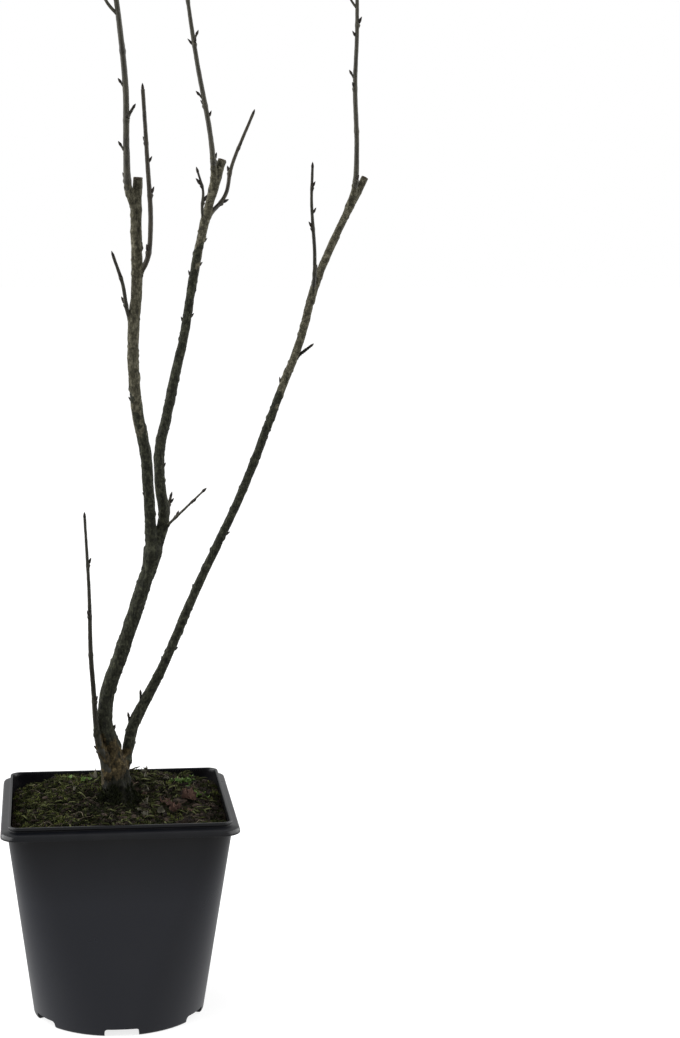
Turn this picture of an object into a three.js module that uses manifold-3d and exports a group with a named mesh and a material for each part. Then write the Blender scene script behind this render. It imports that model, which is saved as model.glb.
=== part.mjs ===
// A dormant, leafless blackcurrant bush in a square-rimmed nursery pot.
// Millimetres, +Z up. The origin is the centre of the pot's flat underside.
// The pot's sides lie along X and Y. The bush is seen from -Y.

import * as THREE from 'three';
import { mergeVertices } from 'three/addons/utils/BufferGeometryUtils.js';
import Module from 'manifold-3d';

const wasm = await Module();
wasm.setup();

// Clearance between neighbouring solids
const GAP = 0.3;

// The pot: a square rim with crisp corners, and a body whose corners grow rounder down to its
// round foot. The body's top values are those its wall would have at the rim's height.
const POT = {
  height: 162,
  footRadius: 63.2,
  bodyTopHalf: 81.2,
  bodyTopCorner: 16.5,
  wall: 1.8,
  floor: 8,
  lipHalf: 79.5,
  lipCorner: 8,
  openingHalf: 77.6,
  collarHalf: 85,
  collarCorner: 13,
  collarLevel: 154.4,
  skirtLevel: 153.3,
  sections: 72,
  cornerCrowding: 0.7,
};

// Heights at which the pot's wall, and the soil against it, have a ring
const WALL_LEVELS = [22, 40, 60, 80, 101, 122, 142];

// Drainage under the pot: channels that leave six feet and a centre pad
const DRAIN = {
  channels: 6,
  width: 25,
  depth: 5.5,
  padRadius: 26,
  holeRadius: 5.5,
  holeAt: 46,
};

// The potting soil's surface: a low mound, with a dip in each back corner and a heap between them
const SOIL = {
  level: 156.6,
  mound: 3,
  moundRadius: 48,
  heaps: [
    { x: -72, y: 70, rise: -6, radius: 18 },
    { x: 70, y: 72, rise: -3, radius: 16 },
    { x: 4, y: 72, rise: 6, radius: 55 },
  ],
  edgeDrop: 2.4,
  ripple: 0.8,
  seat: 159,
  seatRadius: 20,
  sideGap: 0.8,
};

// The crown's root flare
const FLARE = { radius: 2.8, height: 6, lobes: 5, depth: 0.22 };

// A bud: length, half width and how far it leans out from its twig
const BUD = { length: 5.4, radius: 1.25, lean: 0.5, sides: 4 };
const TURN_PER_BUD = THREE.MathUtils.degToRad(137.5);

const UP = new THREE.Vector3(0, 0, 1);

const FINISH = {
  pot: { color: 0x2c2f34, roughness: 0.55 },
  soil: { color: 0x2e251d, roughness: 0.98 },
  bark: { color: 0x3b3a2c, roughness: 0.85 },
  twig: { color: 0x403a33, roughness: 0.8 },
};

// Seeded random numbers from 0 to 1
function randomFrom(seed) {
  let state = seed >>> 0;
  return () => {
    state = (state + 0x6d2b79f5) >>> 0;
    let mixed = Math.imul(state ^ (state >>> 15), state | 1);
    mixed ^= mixed + Math.imul(mixed ^ (mixed >>> 7), mixed | 61);
    return ((mixed ^ (mixed >>> 14)) >>> 0) / 4294967296;
  };
}

// A closed geometry from rings of equal length, lowest or first ring to last
function skin(rings) {
  const count = rings[0].length;
  const points = rings.flat();
  const faces = [];
  for (let r = 0; r < rings.length - 1; r += 1) {
    for (let i = 0; i < count; i += 1) {
      const next = (i + 1) % count;
      const a = r * count + i;
      const b = r * count + next;
      faces.push(a, b, b + count, a, b + count, a + count);
    }
  }
  const last = (rings.length - 1) * count;
  const startHub = points.push(middleOf(rings[0])) - 1;
  const endHub = points.push(middleOf(rings[rings.length - 1])) - 1;
  for (let i = 0; i < count; i += 1) {
    const next = (i + 1) % count;
    faces.push(startHub, next, i);
    faces.push(endHub, last + i, last + next);
  }
  const geometry = new THREE.BufferGeometry().setFromPoints(points);
  geometry.setIndex(faces);
  return geometry;
}

function middleOf(ring) {
  const sum = new THREE.Vector3();
  ring.forEach((point) => sum.add(point));
  return sum.divideScalar(ring.length);
}

function solidFrom(geometry) {
  const bare = geometry.clone();
  bare.deleteAttribute('normal');
  bare.deleteAttribute('uv');
  const merged = mergeVertices(bare, 1e-4);
  return new wasm.Manifold(new wasm.Mesh({
    numProp: 3,
    vertProperties: new Float32Array(merged.attributes.position.array),
    triVerts: new Uint32Array(merged.index.array),
  }));
}

// Joins solids and drops any scrap that a cut has left loose
function join(solids) {
  return solids.reduce((whole, solid) => whole.add(solid));
}

function largestPiece(solid) {
  const pieces = solid.decompose();
  return pieces.reduce((best, piece) => (piece.volume() > best.volume() ? piece : best));
}

function meshFrom(name, solid, finish) {
  const { vertProperties, triVerts } = solid.getMesh();
  const geometry = new THREE.BufferGeometry();
  geometry.setAttribute('position', new THREE.BufferAttribute(vertProperties, 3));
  geometry.setIndex(new THREE.BufferAttribute(triVerts, 1));
  geometry.computeVertexNormals();
  const mesh = new THREE.Mesh(geometry, new THREE.MeshStandardMaterial({ ...finish, metalness: 0 }));
  mesh.name = name;
  return mesh;
}

// The pot

// Distance from the axis to a rounded square of the given half width
function squareReach(half, corner, angle) {
  const c = Math.abs(Math.cos(angle));
  const s = Math.abs(Math.sin(angle));
  const flat = half - corner;
  if (Math.min(c, s) * half <= flat * Math.max(c, s)) {
    return half / Math.max(c, s);
  }
  const across = flat * (c - s);
  return flat * (c + s) + Math.sqrt(corner * corner - across * across);
}

// A level ring of the pot: a rounded square whose points crowd towards its corners.
// It is a circle where the corner's radius is the half width.
function potRing(half, corner, z) {
  const ring = [];
  const quarter = Math.PI / 2;
  for (let i = 0; i < POT.sections; i += 1) {
    const turn = (4 * i) / POT.sections;
    const crowding = (POT.cornerCrowding * Math.sin(2 * Math.PI * turn)) / (2 * Math.PI);
    const angle = quarter * (turn + crowding);
    const reach = squareReach(half, corner, angle);
    ring.push(new THREE.Vector3(reach * Math.cos(angle), reach * Math.sin(angle), z));
  }
  return ring;
}

// A ring of the body's wall, drawn in by an inset
function wallRing(z, inset) {
  const half = THREE.MathUtils.lerp(POT.footRadius, POT.bodyTopHalf, z / POT.height);
  const corner = THREE.MathUtils.lerp(POT.footRadius, POT.bodyTopCorner, z / POT.height);
  return potRing(half - inset, corner - inset, z);
}

// A ring of the rim, whose corners grow rounder from the lip out to the collar
function rimRing(half, z) {
  const outwards = (half - POT.lipHalf) / (POT.collarHalf - POT.lipHalf);
  return potRing(half, THREE.MathUtils.lerp(POT.lipCorner, POT.collarCorner, outwards), z);
}

// The rim's section from under its collar to its opening: a skirt with a hollow behind it,
// the collar that slopes up and in, a groove, and the thin upright lip
function rimRings() {
  const { height, lipHalf, lipCorner, openingHalf, collarHalf, collarLevel, skirtLevel } = POT;
  return [
    rimRing(lipHalf + 1.1, skirtLevel + 2),
    rimRing(collarHalf - 1.9, skirtLevel + 1.3),
    rimRing(collarHalf - 1.5, skirtLevel),
    rimRing(collarHalf - 0.3, skirtLevel),
    rimRing(collarHalf, collarLevel),
    rimRing(collarHalf - 0.8, collarLevel + 1.5),
    rimRing(lipHalf + 0.4, height - 3.6),
    rimRing(lipHalf - 0.7, height - 2.8),
    rimRing(lipHalf, height - 1.9),
    rimRing(lipHalf, height - 0.5),
    rimRing(lipHalf - 0.5, height),
    rimRing(openingHalf + 0.5, height),
    rimRing(openingHalf, height - 0.5),
    potRing(openingHalf + 0.3, lipCorner + 3, skirtLevel + 2.7),
  ];
}

function potShell() {
  const rings = [wallRing(0, 1.5), wallRing(1.5, 0)];
  for (const z of [...WALL_LEVELS, POT.skirtLevel - 1.3]) {
    rings.push(wallRing(z, 0));
  }
  rings.push(...rimRings());
  for (const z of [POT.floor + 4, ...WALL_LEVELS, POT.skirtLevel - 3.3].reverse()) {
    rings.push(wallRing(z, POT.wall));
  }
  rings.push(wallRing(POT.floor, POT.wall + 4));
  return solidFrom(skin(rings));
}

// One channel under the pot with its drain hole
function drainTool(angle) {
  const length = POT.footRadius + 10 - DRAIN.padRadius;
  const channel = new THREE.BoxGeometry(length, DRAIN.width, DRAIN.depth + 5);
  channel.translate(DRAIN.padRadius + length / 2, 0, DRAIN.depth / 2 - 2.5);
  const hole = new THREE.CylinderGeometry(DRAIN.holeRadius, DRAIN.holeRadius, POT.floor + 6, 20);
  hole.rotateX(Math.PI / 2);
  hole.translate(DRAIN.holeAt, 0, (POT.floor + 6) / 2);
  const tool = solidFrom(channel).add(solidFrom(hole));
  return tool.rotate([0, 0, THREE.MathUtils.radToDeg(angle)]);
}

function pot() {
  let shell = potShell();
  for (let i = 0; i < DRAIN.channels; i += 1) {
    const angle = -Math.PI / 2 + (2 * Math.PI * i) / DRAIN.channels;
    shell = shell.subtract(drainTool(angle));
  }
  return shell;
}

// The soil

// Smooth lumps, flat where the crown sits. `share` is 1 at the pot's wall.
function soilHeight(x, y, share) {
  const fromCrown = Math.hypot(x, y);
  let free = SOIL.level + SOIL.mound * Math.exp(-((fromCrown / SOIL.moundRadius) ** 2));
  for (const heap of SOIL.heaps) {
    free += heap.rise * Math.exp(-((Math.hypot(x - heap.x, y - heap.y) / heap.radius) ** 2));
  }
  free -= SOIL.edgeDrop * share ** 8;
  free += SOIL.ripple * Math.sin(0.13 * x + 0.6) * Math.cos(0.11 * y);
  free += 0.6 * SOIL.ripple * Math.sin(0.27 * y - 0.19 * x);
  const away = THREE.MathUtils.smoothstep(fromCrown, SOIL.seatRadius, 2 * SOIL.seatRadius);
  return THREE.MathUtils.lerp(SOIL.seat - GAP, free, away);
}

function soil() {
  const inset = POT.wall + SOIL.sideGap;
  const bottom = POT.floor + GAP;
  const rings = [wallRing(bottom, inset + 4.2)];
  for (const z of [POT.floor + 4 + GAP, ...WALL_LEVELS]) {
    rings.push(wallRing(z, inset));
  }
  const edge = wallRing(WALL_LEVELS[WALL_LEVELS.length - 1], inset);
  const shares = [0.995, 0.88, 0.74, 0.6, 0.46, 0.34, 0.22];
  for (const share of shares) {
    rings.push(edge.map((point) => {
      const x = point.x * share;
      const y = point.y * share;
      return new THREE.Vector3(x, y, soilHeight(x, y, share));
    }));
  }
  return solidFrom(skin(rings));
}

// Limbs and twigs

// Radius of a limb at a share of its length, read from [share, radius] stations
function girthAt(stations, share) {
  let [fromShare, fromRadius] = stations[0];
  for (const [toShare, toRadius] of stations) {
    if (share <= toShare) {
      const part = toShare > fromShare ? (share - fromShare) / (toShare - fromShare) : 0;
      return THREE.MathUtils.lerp(fromRadius, toRadius, THREE.MathUtils.smoothstep(part, 0, 1));
    }
    [fromShare, fromRadius] = [toShare, toRadius];
  }
  return fromRadius;
}

// Places and directions along a limb's axis, with a section that doesn't twist
function stationsAlong(path, step) {
  const curve = new THREE.CatmullRomCurve3(path.map((p) => new THREE.Vector3(...p)), false, 'centripetal');
  const count = Math.max(3, Math.round(curve.getLength() / step));
  const stations = [];
  let side = new THREE.Vector3(1, 0, 0);
  for (let i = 0; i <= count; i += 1) {
    const along = curve.getTangentAt(i / count);
    side = side.clone().addScaledVector(along, -side.dot(along)).normalize();
    const across = new THREE.Vector3().crossVectors(along, side);
    stations.push({ share: i / count, at: curve.getPointAt(i / count), along, side, across });
  }
  return stations;
}

// A tapering limb along its path, its foot cut level where it has a cutLevel.
// With `grow` it is that much thicker all over.
function limbSolid(limb, grow = 0) {
  const stations = stationsAlong(limb.path, limb.step);
  const rings = stations.map((station) => {
    const radius = girthAt(limb.girth, station.share) + grow;
    const ring = [];
    for (let i = 0; i < limb.sides; i += 1) {
      const turn = (2 * Math.PI * i) / limb.sides;
      const flare = limb.flare ? limb.flare(station.at.z, turn) : 0;
      ring.push(station.at.clone()
        .addScaledVector(station.side, (radius + flare) * Math.cos(turn))
        .addScaledVector(station.across, (radius + flare) * Math.sin(turn)));
    }
    return ring;
  });
  if (limb.cutLevel !== undefined) {
    rings[0].forEach((point) => point.setZ(limb.cutLevel));
  }
  if (grow > 0) {
    const first = stations[0];
    const last = stations[stations.length - 1];
    rings[0].forEach((point) => point.addScaledVector(first.along, -grow));
    rings[rings.length - 1].forEach((point) => point.addScaledVector(last.along, grow));
  }
  return solidFrom(skin(rings));
}

// A short pointed bud or spur, its root sunk into the twig it grows on
function spurSolid(root, direction, length, radius) {
  const other = Math.abs(direction.z) < 0.9 ? UP : new THREE.Vector3(1, 0, 0);
  const side = new THREE.Vector3().crossVectors(direction, other).normalize();
  const across = new THREE.Vector3().crossVectors(direction, side);
  const profile = [[0, 0.6], [0.45, 1], [1, 0.15]];
  const rings = profile.map(([share, width]) => {
    const ring = [];
    for (let i = 0; i < BUD.sides; i += 1) {
      const turn = (2 * Math.PI * i) / BUD.sides;
      ring.push(root.clone()
        .addScaledVector(direction, share * length)
        .addScaledVector(side, width * radius * Math.cos(turn))
        .addScaledVector(across, width * radius * Math.sin(turn)));
    }
    return ring;
  });
  return solidFrom(skin(rings));
}

// Buds that climb a twig in a spiral, the last one on its tip
function budsOn(limb) {
  const random = randomFrom(limb.seed);
  const stations = stationsAlong(limb.path, 1);
  const solids = [];
  let turn = random() * 2 * Math.PI;
  for (let share = limb.budsFrom; share < 0.97; share += limb.budEvery * (0.8 + 0.4 * random())) {
    const station = stations[Math.round(share * (stations.length - 1))];
    const out = station.side.clone()
      .multiplyScalar(Math.cos(turn))
      .addScaledVector(station.across, Math.sin(turn));
    const direction = station.along.clone().addScaledVector(out, BUD.lean).normalize();
    const radius = girthAt(limb.girth, station.share);
    const size = 0.8 + 0.4 * random();
    const root = station.at.clone().addScaledVector(out, 0.5 * radius);
    solids.push(spurSolid(root, direction, BUD.length * size, BUD.radius * size));
    turn += TURN_PER_BUD;
  }
  const tip = stations[stations.length - 1];
  solids.push(spurSolid(tip.at.clone().addScaledVector(tip.along, -1), tip.along, BUD.length, BUD.radius));
  return solids;
}

// The root flare: lobes that spread where the crown meets the soil
function rootFlare(z, turn) {
  const spread = Math.exp(-(z - SOIL.seat) / FLARE.height);
  return FLARE.radius * spread * (1 + FLARE.depth * Math.sin(FLARE.lobes * turn + 0.7));
}

// The woody frame, from the soil up. Each limb names what it grows from.
const WOOD = { sides: 10, step: 11 };
const limbs = {
  trunk: {
    ...WOOD,
    path: [[0, 0, 159], [-1, 0, 177], [-3, -1, 197], [-9, -6, 219], [-6.5, -8, 244], [3.2, -9, 272],
      [15.6, -12, 311], [24, -13.4, 337], [27, -14, 353]],
    girth: [[0, 10.6], [0.1, 9.6], [0.14, 8], [0.19, 6.2], [0.34, 5.4], [0.9, 5.2], [0.98, 6.6], [1, 5.6]],
    flare: rootFlare,
    cutLevel: SOIL.seat,
    step: 7,
    sides: 14,
  },
  limb_left: {
    ...WOOD,
    path: [[25.6, -13.6, 345], [24.4, -17, 371], [22.6, -20, 400], [21, -22, 420], [14.3, -26, 457],
      [12.3, -30, 502], [15, -34, 544], [14.6, -36.5, 590], [16, -38, 615.5]],
    girth: [[0, 4.6], [0.12, 4], [0.35, 4.1], [0.9, 3.8], [1, 3.3]],
    grows: ['trunk'],
  },
  limb_right: {
    ...WOOD,
    path: [[27.6, -13.8, 347], [34.4, -11, 372], [32, -6, 396], [32.1, -1, 420], [37.1, 4, 442],
      [44.6, 10, 476], [50.7, 14, 501], [57.8, 20, 542], [65.7, 26, 579], [74.2, 30, 610], [80.2, 32, 629]],
    girth: [[0, 4.6], [0.12, 4], [0.4, 3.7], [0.55, 3.3], [0.88, 3.2], [0.95, 3.5], [1, 3.1]],
    grows: ['trunk', 'limb_left'],
  },
  stem_right: {
    ...WOOD,
    path: [[3, 2, 180], [7.5, 4, 195], [11.5, 6, 213], [33.6, 12, 255], [59.8, 21, 313],
      [77.6, 26, 349], [96.4, 32, 388], [124, 41, 457], [139.2, 46, 495], [151.3, 52, 537],
      [166.6, 57, 572], [189.7, 63, 617]],
    girth: [[0, 4.4], [0.08, 4.2], [0.2, 3.4], [0.45, 3.1], [0.8, 3], [1, 2.7]],
    grows: ['trunk'],
  },
};

// The leafless masses: each is one stem with its buds and its side twigs.
// `buds` is the spacing of buds in millimetres. A stem tapers from `base` to `tip`,
// or by its own `girth` stations.
const masses = {
  shoot_left: {
    path: [[-7.5, -5, 180], [-10.5, -7.4, 195], [-13.5, -9, 204.2], [-15.7, -11, 219], [-17.5, -18, 247],
      [-19.5, -32, 276], [-20.5, -44, 322], [-23.4, -55.5, 379]],
    girth: [[0, 3.8], [0.08, 3.4], [0.13, 2.8], [0.2, 2], [0.3, 1.8], [1, 1]],
    buds: 38,
    grows: ['trunk'],
  },
  leader_left: {
    path: [[14.4, -37, 594], [9.4, -41, 607], [7.8, -45, 635], [7.3, -50, 677],
      [2.6, -55.5, 724], [-4, -60, 772], [-8, -64, 820]],
    base: 2.8,
    tip: 1.4,
    buds: 42,
    twigs: [[0.58, -1, 46]],
    grows: ['limb_left'],
  },
  twig_left_inner: {
    path: [[14.8, -34, 546], [22, -40, 559], [24.4, -43, 583], [22, -46.5, 630], [19.2, -48, 676]],
    base: 2,
    tip: 1.4,
    buds: 40,
    grows: ['limb_left'],
  },
  twig_left_low: {
    path: [[12.6, -30, 509], [8, -34, 523], [5, -38, 541], [-1.6, -42, 561]],
    base: 1.7,
    tip: 1.1,
    buds: 24,
    grows: ['limb_left'],
  },
  leader_middle: {
    path: [[73.8, 29, 608], [73.4, 27, 625], [70.6, 25, 650], [61.4, 22, 698],
      [54.6, 20, 742], [48, 17, 796]],
    base: 2.3,
    tip: 1.2,
    buds: 40,
    twigs: [[0.74, 1, 34]],
    grows: ['limb_right'],
  },
  twig_middle_outer: {
    path: [[67.4, 27, 584.5], [73.6, 32, 592.5], [79.6, 36, 598.5], [84, 39.5, 606],
      [88, 45, 624], [105, 59, 663]],
    base: 1.8,
    tip: 1.1,
    buds: 26,
    grows: ['limb_right'],
  },
  twig_middle_inner: {
    path: [[66.3, 26, 581], [64.6, 19, 594], [65, 15, 607], [61, 10.6, 620]],
    base: 1.3,
    tip: 0.8,
    buds: 18,
    grows: ['limb_right'],
  },
  twig_fork: {
    path: [[32, -11.5, 361], [36, -15, 366], [50, -28, 382], [61, -38, 394.5]],
    base: 1.2,
    tip: 0.7,
    buds: 24,
    grows: ['limb_right'],
  },
  spur_fork: {
    path: [[34, -10.5, 366.5], [38, -6, 374], [38.4, -2.5, 380], [40, 0, 385.5]],
    base: 1.4,
    tip: 1,
    buds: 30,
    grows: ['limb_right', 'twig_fork'],
  },
  twig_right_inner: {
    path: [[149, 50.6, 527], [150, 46, 543], [149.6, 41, 562], [146.4, 34.5, 598], [146.4, 30, 624]],
    base: 1.7,
    tip: 1,
    buds: 30,
    grows: ['stem_right'],
  },
  leader_right: {
    path: [[177.5, 60, 595], [181.6, 58, 610], [182.4, 55, 640], [180.4, 52, 684],
      [181.2, 50, 724], [180, 46, 796]],
    base: 2.3,
    tip: 1.2,
    buds: 40,
    twigs: [[0.72, -1, 34]],
    grows: ['stem_right'],
  },
};

// Buds and short spurs that lean to the left or right: limb, height, side, length
const LEFT = -1;
const RIGHT = 1;
const spurs = [
  ['trunk', 209, RIGHT, 8],
  ['trunk', 256, RIGHT, 5],
  ['trunk', 338, RIGHT, 6],
  ['limb_left', 388, LEFT, 4],
  ['limb_left', 456, LEFT, 5],
  ['limb_right', 406, RIGHT, 5],
  ['limb_right', 510, LEFT, 5],
  ['limb_right', 515, RIGHT, 5],
  ['limb_right', 543, LEFT, 5],
  ['limb_right', 551, RIGHT, 5],
  ['limb_right', 568, RIGHT, 5],
  ['stem_right', 199, RIGHT, 5],
  ['stem_right', 213, LEFT, 9],
  ['stem_right', 230, LEFT, 9],
  ['stem_right', 259, LEFT, 4],
  ['stem_right', 268, RIGHT, 5],
  ['stem_right', 312, LEFT, 4],
  ['stem_right', 338, LEFT, 4],
  ['stem_right', 352, RIGHT, 5],
  ['stem_right', 462, LEFT, 6],
  ['stem_right', 484, RIGHT, 16],
  ['leader_left', 634, LEFT, 8],
  ['leader_left', 657, RIGHT, 10],
  ['leader_left', 676, LEFT, 7],
  ['leader_middle', 659, RIGHT, 5],
  ['leader_middle', 673, LEFT, 7],
  ['leader_middle', 709, LEFT, 6],
  ['leader_middle', 714, RIGHT, 7],
  ['twig_left_inner', 625, RIGHT, 5],
  ['twig_right_inner', 590, RIGHT, 5],
  ['leader_right', 690, LEFT, 7],
  ['leader_right', 720, LEFT, 5],
];
const SPUR = { girthShare: 0.17, leastRadius: 1.1, mostRadius: 1.7, rise: 1.6 };

// A side twig of a mass: a slim limb that leans out to one side of its stem
function sideTwig(limb, [share, sideways, length]) {
  const stations = stationsAlong(limb.path, 2);
  const station = stations[Math.round(share * (stations.length - 1))];
  const out = station.side.clone().multiplyScalar(sideways);
  const at = (forward, outward) => station.at.clone()
    .addScaledVector(station.along, forward * length)
    .addScaledVector(out, outward * length)
    .toArray();
  const radius = 0.62 * girthAt(limb.girth, share);
  return {
    sides: 5,
    step: 9,
    path: [at(0, 0), at(0.2, 0.14), at(0.6, 0.26), at(1, 0.34)],
    girth: [[0, radius], [1, 0.7 * radius]],
    budsFrom: 0.35,
    budEvery: 14 / length,
    seed: Math.round(1000 * share),
  };
}

// Radius stations of a stem that tapers fastest near its foot
function taper({ base, tip }) {
  return [[0, base], [0.25, THREE.MathUtils.lerp(base, tip, 0.45)], [1, tip]];
}

// Fills in a mass: sections, taper and where its buds start
function dressMass(mass, seed) {
  const length = stationsAlong(mass.path, 4).length * 4;
  return {
    sides: 6,
    step: 11,
    girth: mass.girth ?? taper(mass),
    ...mass,
    budsFrom: 22 / length,
    budEvery: mass.buds / length,
    seed,
  };
}

function spursOn(name, limb) {
  const stations = stationsAlong(limb.path, 2);
  return spurs.filter(([owner]) => owner === name).map(([, height, side, length]) => {
    const station = stations.find(({ at }) => at.z >= height);
    const out = station.side.clone().multiplyScalar(side);
    const root = station.at.clone().addScaledVector(out, 0.6 * girthAt(limb.girth, station.share));
    const direction = station.along.clone().multiplyScalar(SPUR.rise).add(out).normalize();
    const radius = THREE.MathUtils.clamp(SPUR.girthShare * length, SPUR.leastRadius, SPUR.mostRadius);
    return spurSolid(root, direction, length, radius);
  });
}

// Takes away what a limb grows from, made thicker by the clearance
function cutClear(solid, parents, grown) {
  let clear = solid;
  for (const parent of parents) {
    clear = clear.subtract(grown[parent]);
  }
  return largestPiece(clear);
}

const bush = new THREE.Group();
bush.add(meshFrom('pot', pot(), FINISH.pot));
bush.add(meshFrom('soil', soil(), FINISH.soil));

const grown = {};
for (const [name, limb] of Object.entries(limbs)) {
  const solid = join([limbSolid(limb), ...spursOn(name, limb)]);
  grown[name] = limbSolid(limb, GAP);
  bush.add(meshFrom(name, cutClear(solid, limb.grows ?? [], grown), FINISH.bark));
}

Object.entries(masses).forEach(([name, plain], index) => {
  const mass = dressMass(plain, 11 + 7 * index);
  const sideTwigs = (mass.twigs ?? []).map((twig) => sideTwig(mass, twig));
  const wood = [mass, ...sideTwigs];
  const growth = wood.flatMap((twig) => [limbSolid(twig), ...budsOn(twig)]);
  const solid = join([...growth, ...spursOn(name, mass)]);
  grown[name] = join(wood.map((twig) => limbSolid(twig, GAP)));
  bush.add(meshFrom(name, cutClear(solid, mass.grows, grown), FINISH.twig));
});

export default bush;
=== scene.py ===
# The looks of a dormant blackcurrant bush in its nursery pot.
# Lengths are given in millimetres and turned into metres by MM.

import math

import bpy
import numpy as np
from mathutils import Matrix, Vector


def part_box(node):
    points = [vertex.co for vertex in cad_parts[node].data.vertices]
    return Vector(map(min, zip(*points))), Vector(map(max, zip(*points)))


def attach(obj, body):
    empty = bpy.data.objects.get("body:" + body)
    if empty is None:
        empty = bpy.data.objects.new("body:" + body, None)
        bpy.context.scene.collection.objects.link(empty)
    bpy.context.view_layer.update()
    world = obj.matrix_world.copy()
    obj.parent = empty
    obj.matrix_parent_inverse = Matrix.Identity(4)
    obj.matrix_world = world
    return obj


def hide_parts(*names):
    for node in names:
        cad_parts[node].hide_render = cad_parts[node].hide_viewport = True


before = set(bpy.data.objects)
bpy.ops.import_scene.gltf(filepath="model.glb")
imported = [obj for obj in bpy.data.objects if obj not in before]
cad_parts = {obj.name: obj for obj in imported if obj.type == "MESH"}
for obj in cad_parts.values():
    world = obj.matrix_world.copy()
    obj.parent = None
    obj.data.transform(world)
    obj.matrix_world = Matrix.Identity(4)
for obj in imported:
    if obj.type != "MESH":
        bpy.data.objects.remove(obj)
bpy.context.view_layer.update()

MM = 0.001
BODY = "root"
WHOLE_TURN = 2 * math.pi
GOLDEN_TURN = math.radians(137.5)
LEFT = -1
RIGHT = 1

# The photograph's camera: its place, its aim in degrees, its focal length and its sensor's width
CAMERA_AT = (-50.7, -1665.3, 611.6)
CAMERA_YAW = 7.37
CAMERA_PITCH = 8.26
CAMERA_ROLL = 0.41
CAMERA_FOCAL = 79.8
SENSOR = 36.0


# Random numbers, noise and smooth steps

FIRST_CELL = 100000


def source_random(seed):
    """The bush's own rule for seeded numbers from 0 to 1."""
    state = seed & 0xFFFFFFFF

    def draw():
        nonlocal state
        state = (state + 0x6D2B79F5) & 0xFFFFFFFF
        mixed = ((state ^ (state >> 15)) * (state | 1)) & 0xFFFFFFFF
        mixed ^= (mixed + ((mixed ^ (mixed >> 7)) * (mixed | 61) & 0xFFFFFFFF)) & 0xFFFFFFFF
        return ((mixed ^ (mixed >> 14)) & 0xFFFFFFFF) / 4294967296

    return draw


def lattice(cells, seed):
    """One pseudo-random number from -1 to 1 for each integer cell."""
    x, y, z = (cells[..., i].astype(np.uint64) for i in range(3))
    mixed = x * np.uint64(73856093) ^ y * np.uint64(19349663) ^ z * np.uint64(83492791)
    mixed ^= np.uint64(seed * 2654435761 % 2 ** 32)
    mixed = (mixed ^ (mixed >> np.uint64(13))) * np.uint64(1274126177)
    mixed ^= mixed >> np.uint64(16)
    return (mixed & np.uint64(0xFFFF)).astype(float) / 32767.5 - 1.0


def noise(points, seed):
    """Smooth value noise from -1 to 1, with features one unit wide."""
    whole = np.floor(points)
    part = points - whole
    part = part * part * (3 - 2 * part)
    cells = whole.astype(np.int64) + FIRST_CELL
    total = np.zeros(points.shape[:-1])
    for corner in np.ndindex(2, 2, 2):
        weight = np.ones(points.shape[:-1])
        for axis, step in enumerate(corner):
            weight *= part[..., axis] if step else 1 - part[..., axis]
        total += weight * lattice(cells + np.array(corner), seed)
    return total


def layered(points, octaves, seed):
    """Noise with finer and weaker layers added."""
    return sum(noise(points * 2 ** octave, seed + octave) / 2 ** octave for octave in range(octaves))


def smoothstep(value, low=0.0, high=1.0):
    part = np.clip((np.asarray(value, float) - low) / (high - low), 0, 1)
    return part * part * (3 - 2 * part)


def hump(away, width):
    """1 in the middle, fading out over the width."""
    return np.exp(-(away / width) ** 2)


def facing(turn, middle, sharpness):
    """1 at the middle turn, and less further round from it."""
    return np.exp(sharpness * (np.cos(turn - middle) - 1))


# Meshes, each a pair of points in millimetres and triangles

def turns(count):
    return np.linspace(0, WHOLE_TURN, count, endpoint=False)


def ring_at(reach, angle, z):
    """Points round the z axis, one for each reach, angle and height."""
    reach, angle, z = np.broadcast_arrays(reach, angle, z)
    return np.stack([reach * np.cos(angle), reach * np.sin(angle), z], -1)


def level(x, y):
    """The places at height 0."""
    return np.stack([x, y, np.zeros_like(x)], -1)


def joined(parts):
    """One mesh from several."""
    starts = np.cumsum([0] + [len(points) for points, _ in parts[:-1]])
    triangles = [part[1] + start for part, start in zip(parts, starts)]
    return np.concatenate([points for points, _ in parts]), np.concatenate(triangles)


def adjusted(thing, **settings):
    """The thing with new values for some of its settings."""
    for name, value in settings.items():
        setattr(thing, name, value)
    return thing


def mesh_from(name, points, triangles, smooth=True):
    mesh = bpy.data.meshes.new(name)
    mesh.vertices.add(len(points))
    mesh.vertices.foreach_set("co", np.ascontiguousarray(points, np.float32).ravel() * MM)
    mesh.loops.add(3 * len(triangles))
    mesh.loops.foreach_set("vertex_index", np.ascontiguousarray(triangles, np.int32).ravel())
    mesh.polygons.add(len(triangles))
    mesh.polygons.foreach_set("loop_start", np.arange(0, 3 * len(triangles), 3, dtype=np.int32))
    mesh.polygons.foreach_set("loop_total", np.full(len(triangles), 3, np.int32))
    mesh.update(calc_edges=True)
    mesh.validate()
    mesh.polygons.foreach_set("use_smooth", np.full(len(mesh.polygons), smooth))
    return mesh


def linked(name, data):
    """A new object in the scene."""
    made = bpy.data.objects.new(name, data)
    bpy.context.scene.collection.objects.link(made)
    return made


def piece(name, shape, material, smooth=True):
    """A new object, made from one mesh or a list of them, that rides on the pot and bush."""
    points, triangles = joined(shape) if isinstance(shape, list) else shape
    made = linked(name, mesh_from(name, points, triangles, smooth))
    made.data.materials.append(material)
    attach(made, BODY)
    return made


def grid_triangles(rows, columns):
    """Triangles of a grid of points that is closed round its columns."""
    row, column = np.meshgrid(np.arange(rows - 1), np.arange(columns), indexing="ij")
    a = (row * columns + column).ravel()
    b = (row * columns + (column + 1) % columns).ravel()
    return np.concatenate([np.stack([a, b, b + columns], 1), np.stack([a, b + columns, a + columns], 1)])


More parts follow.
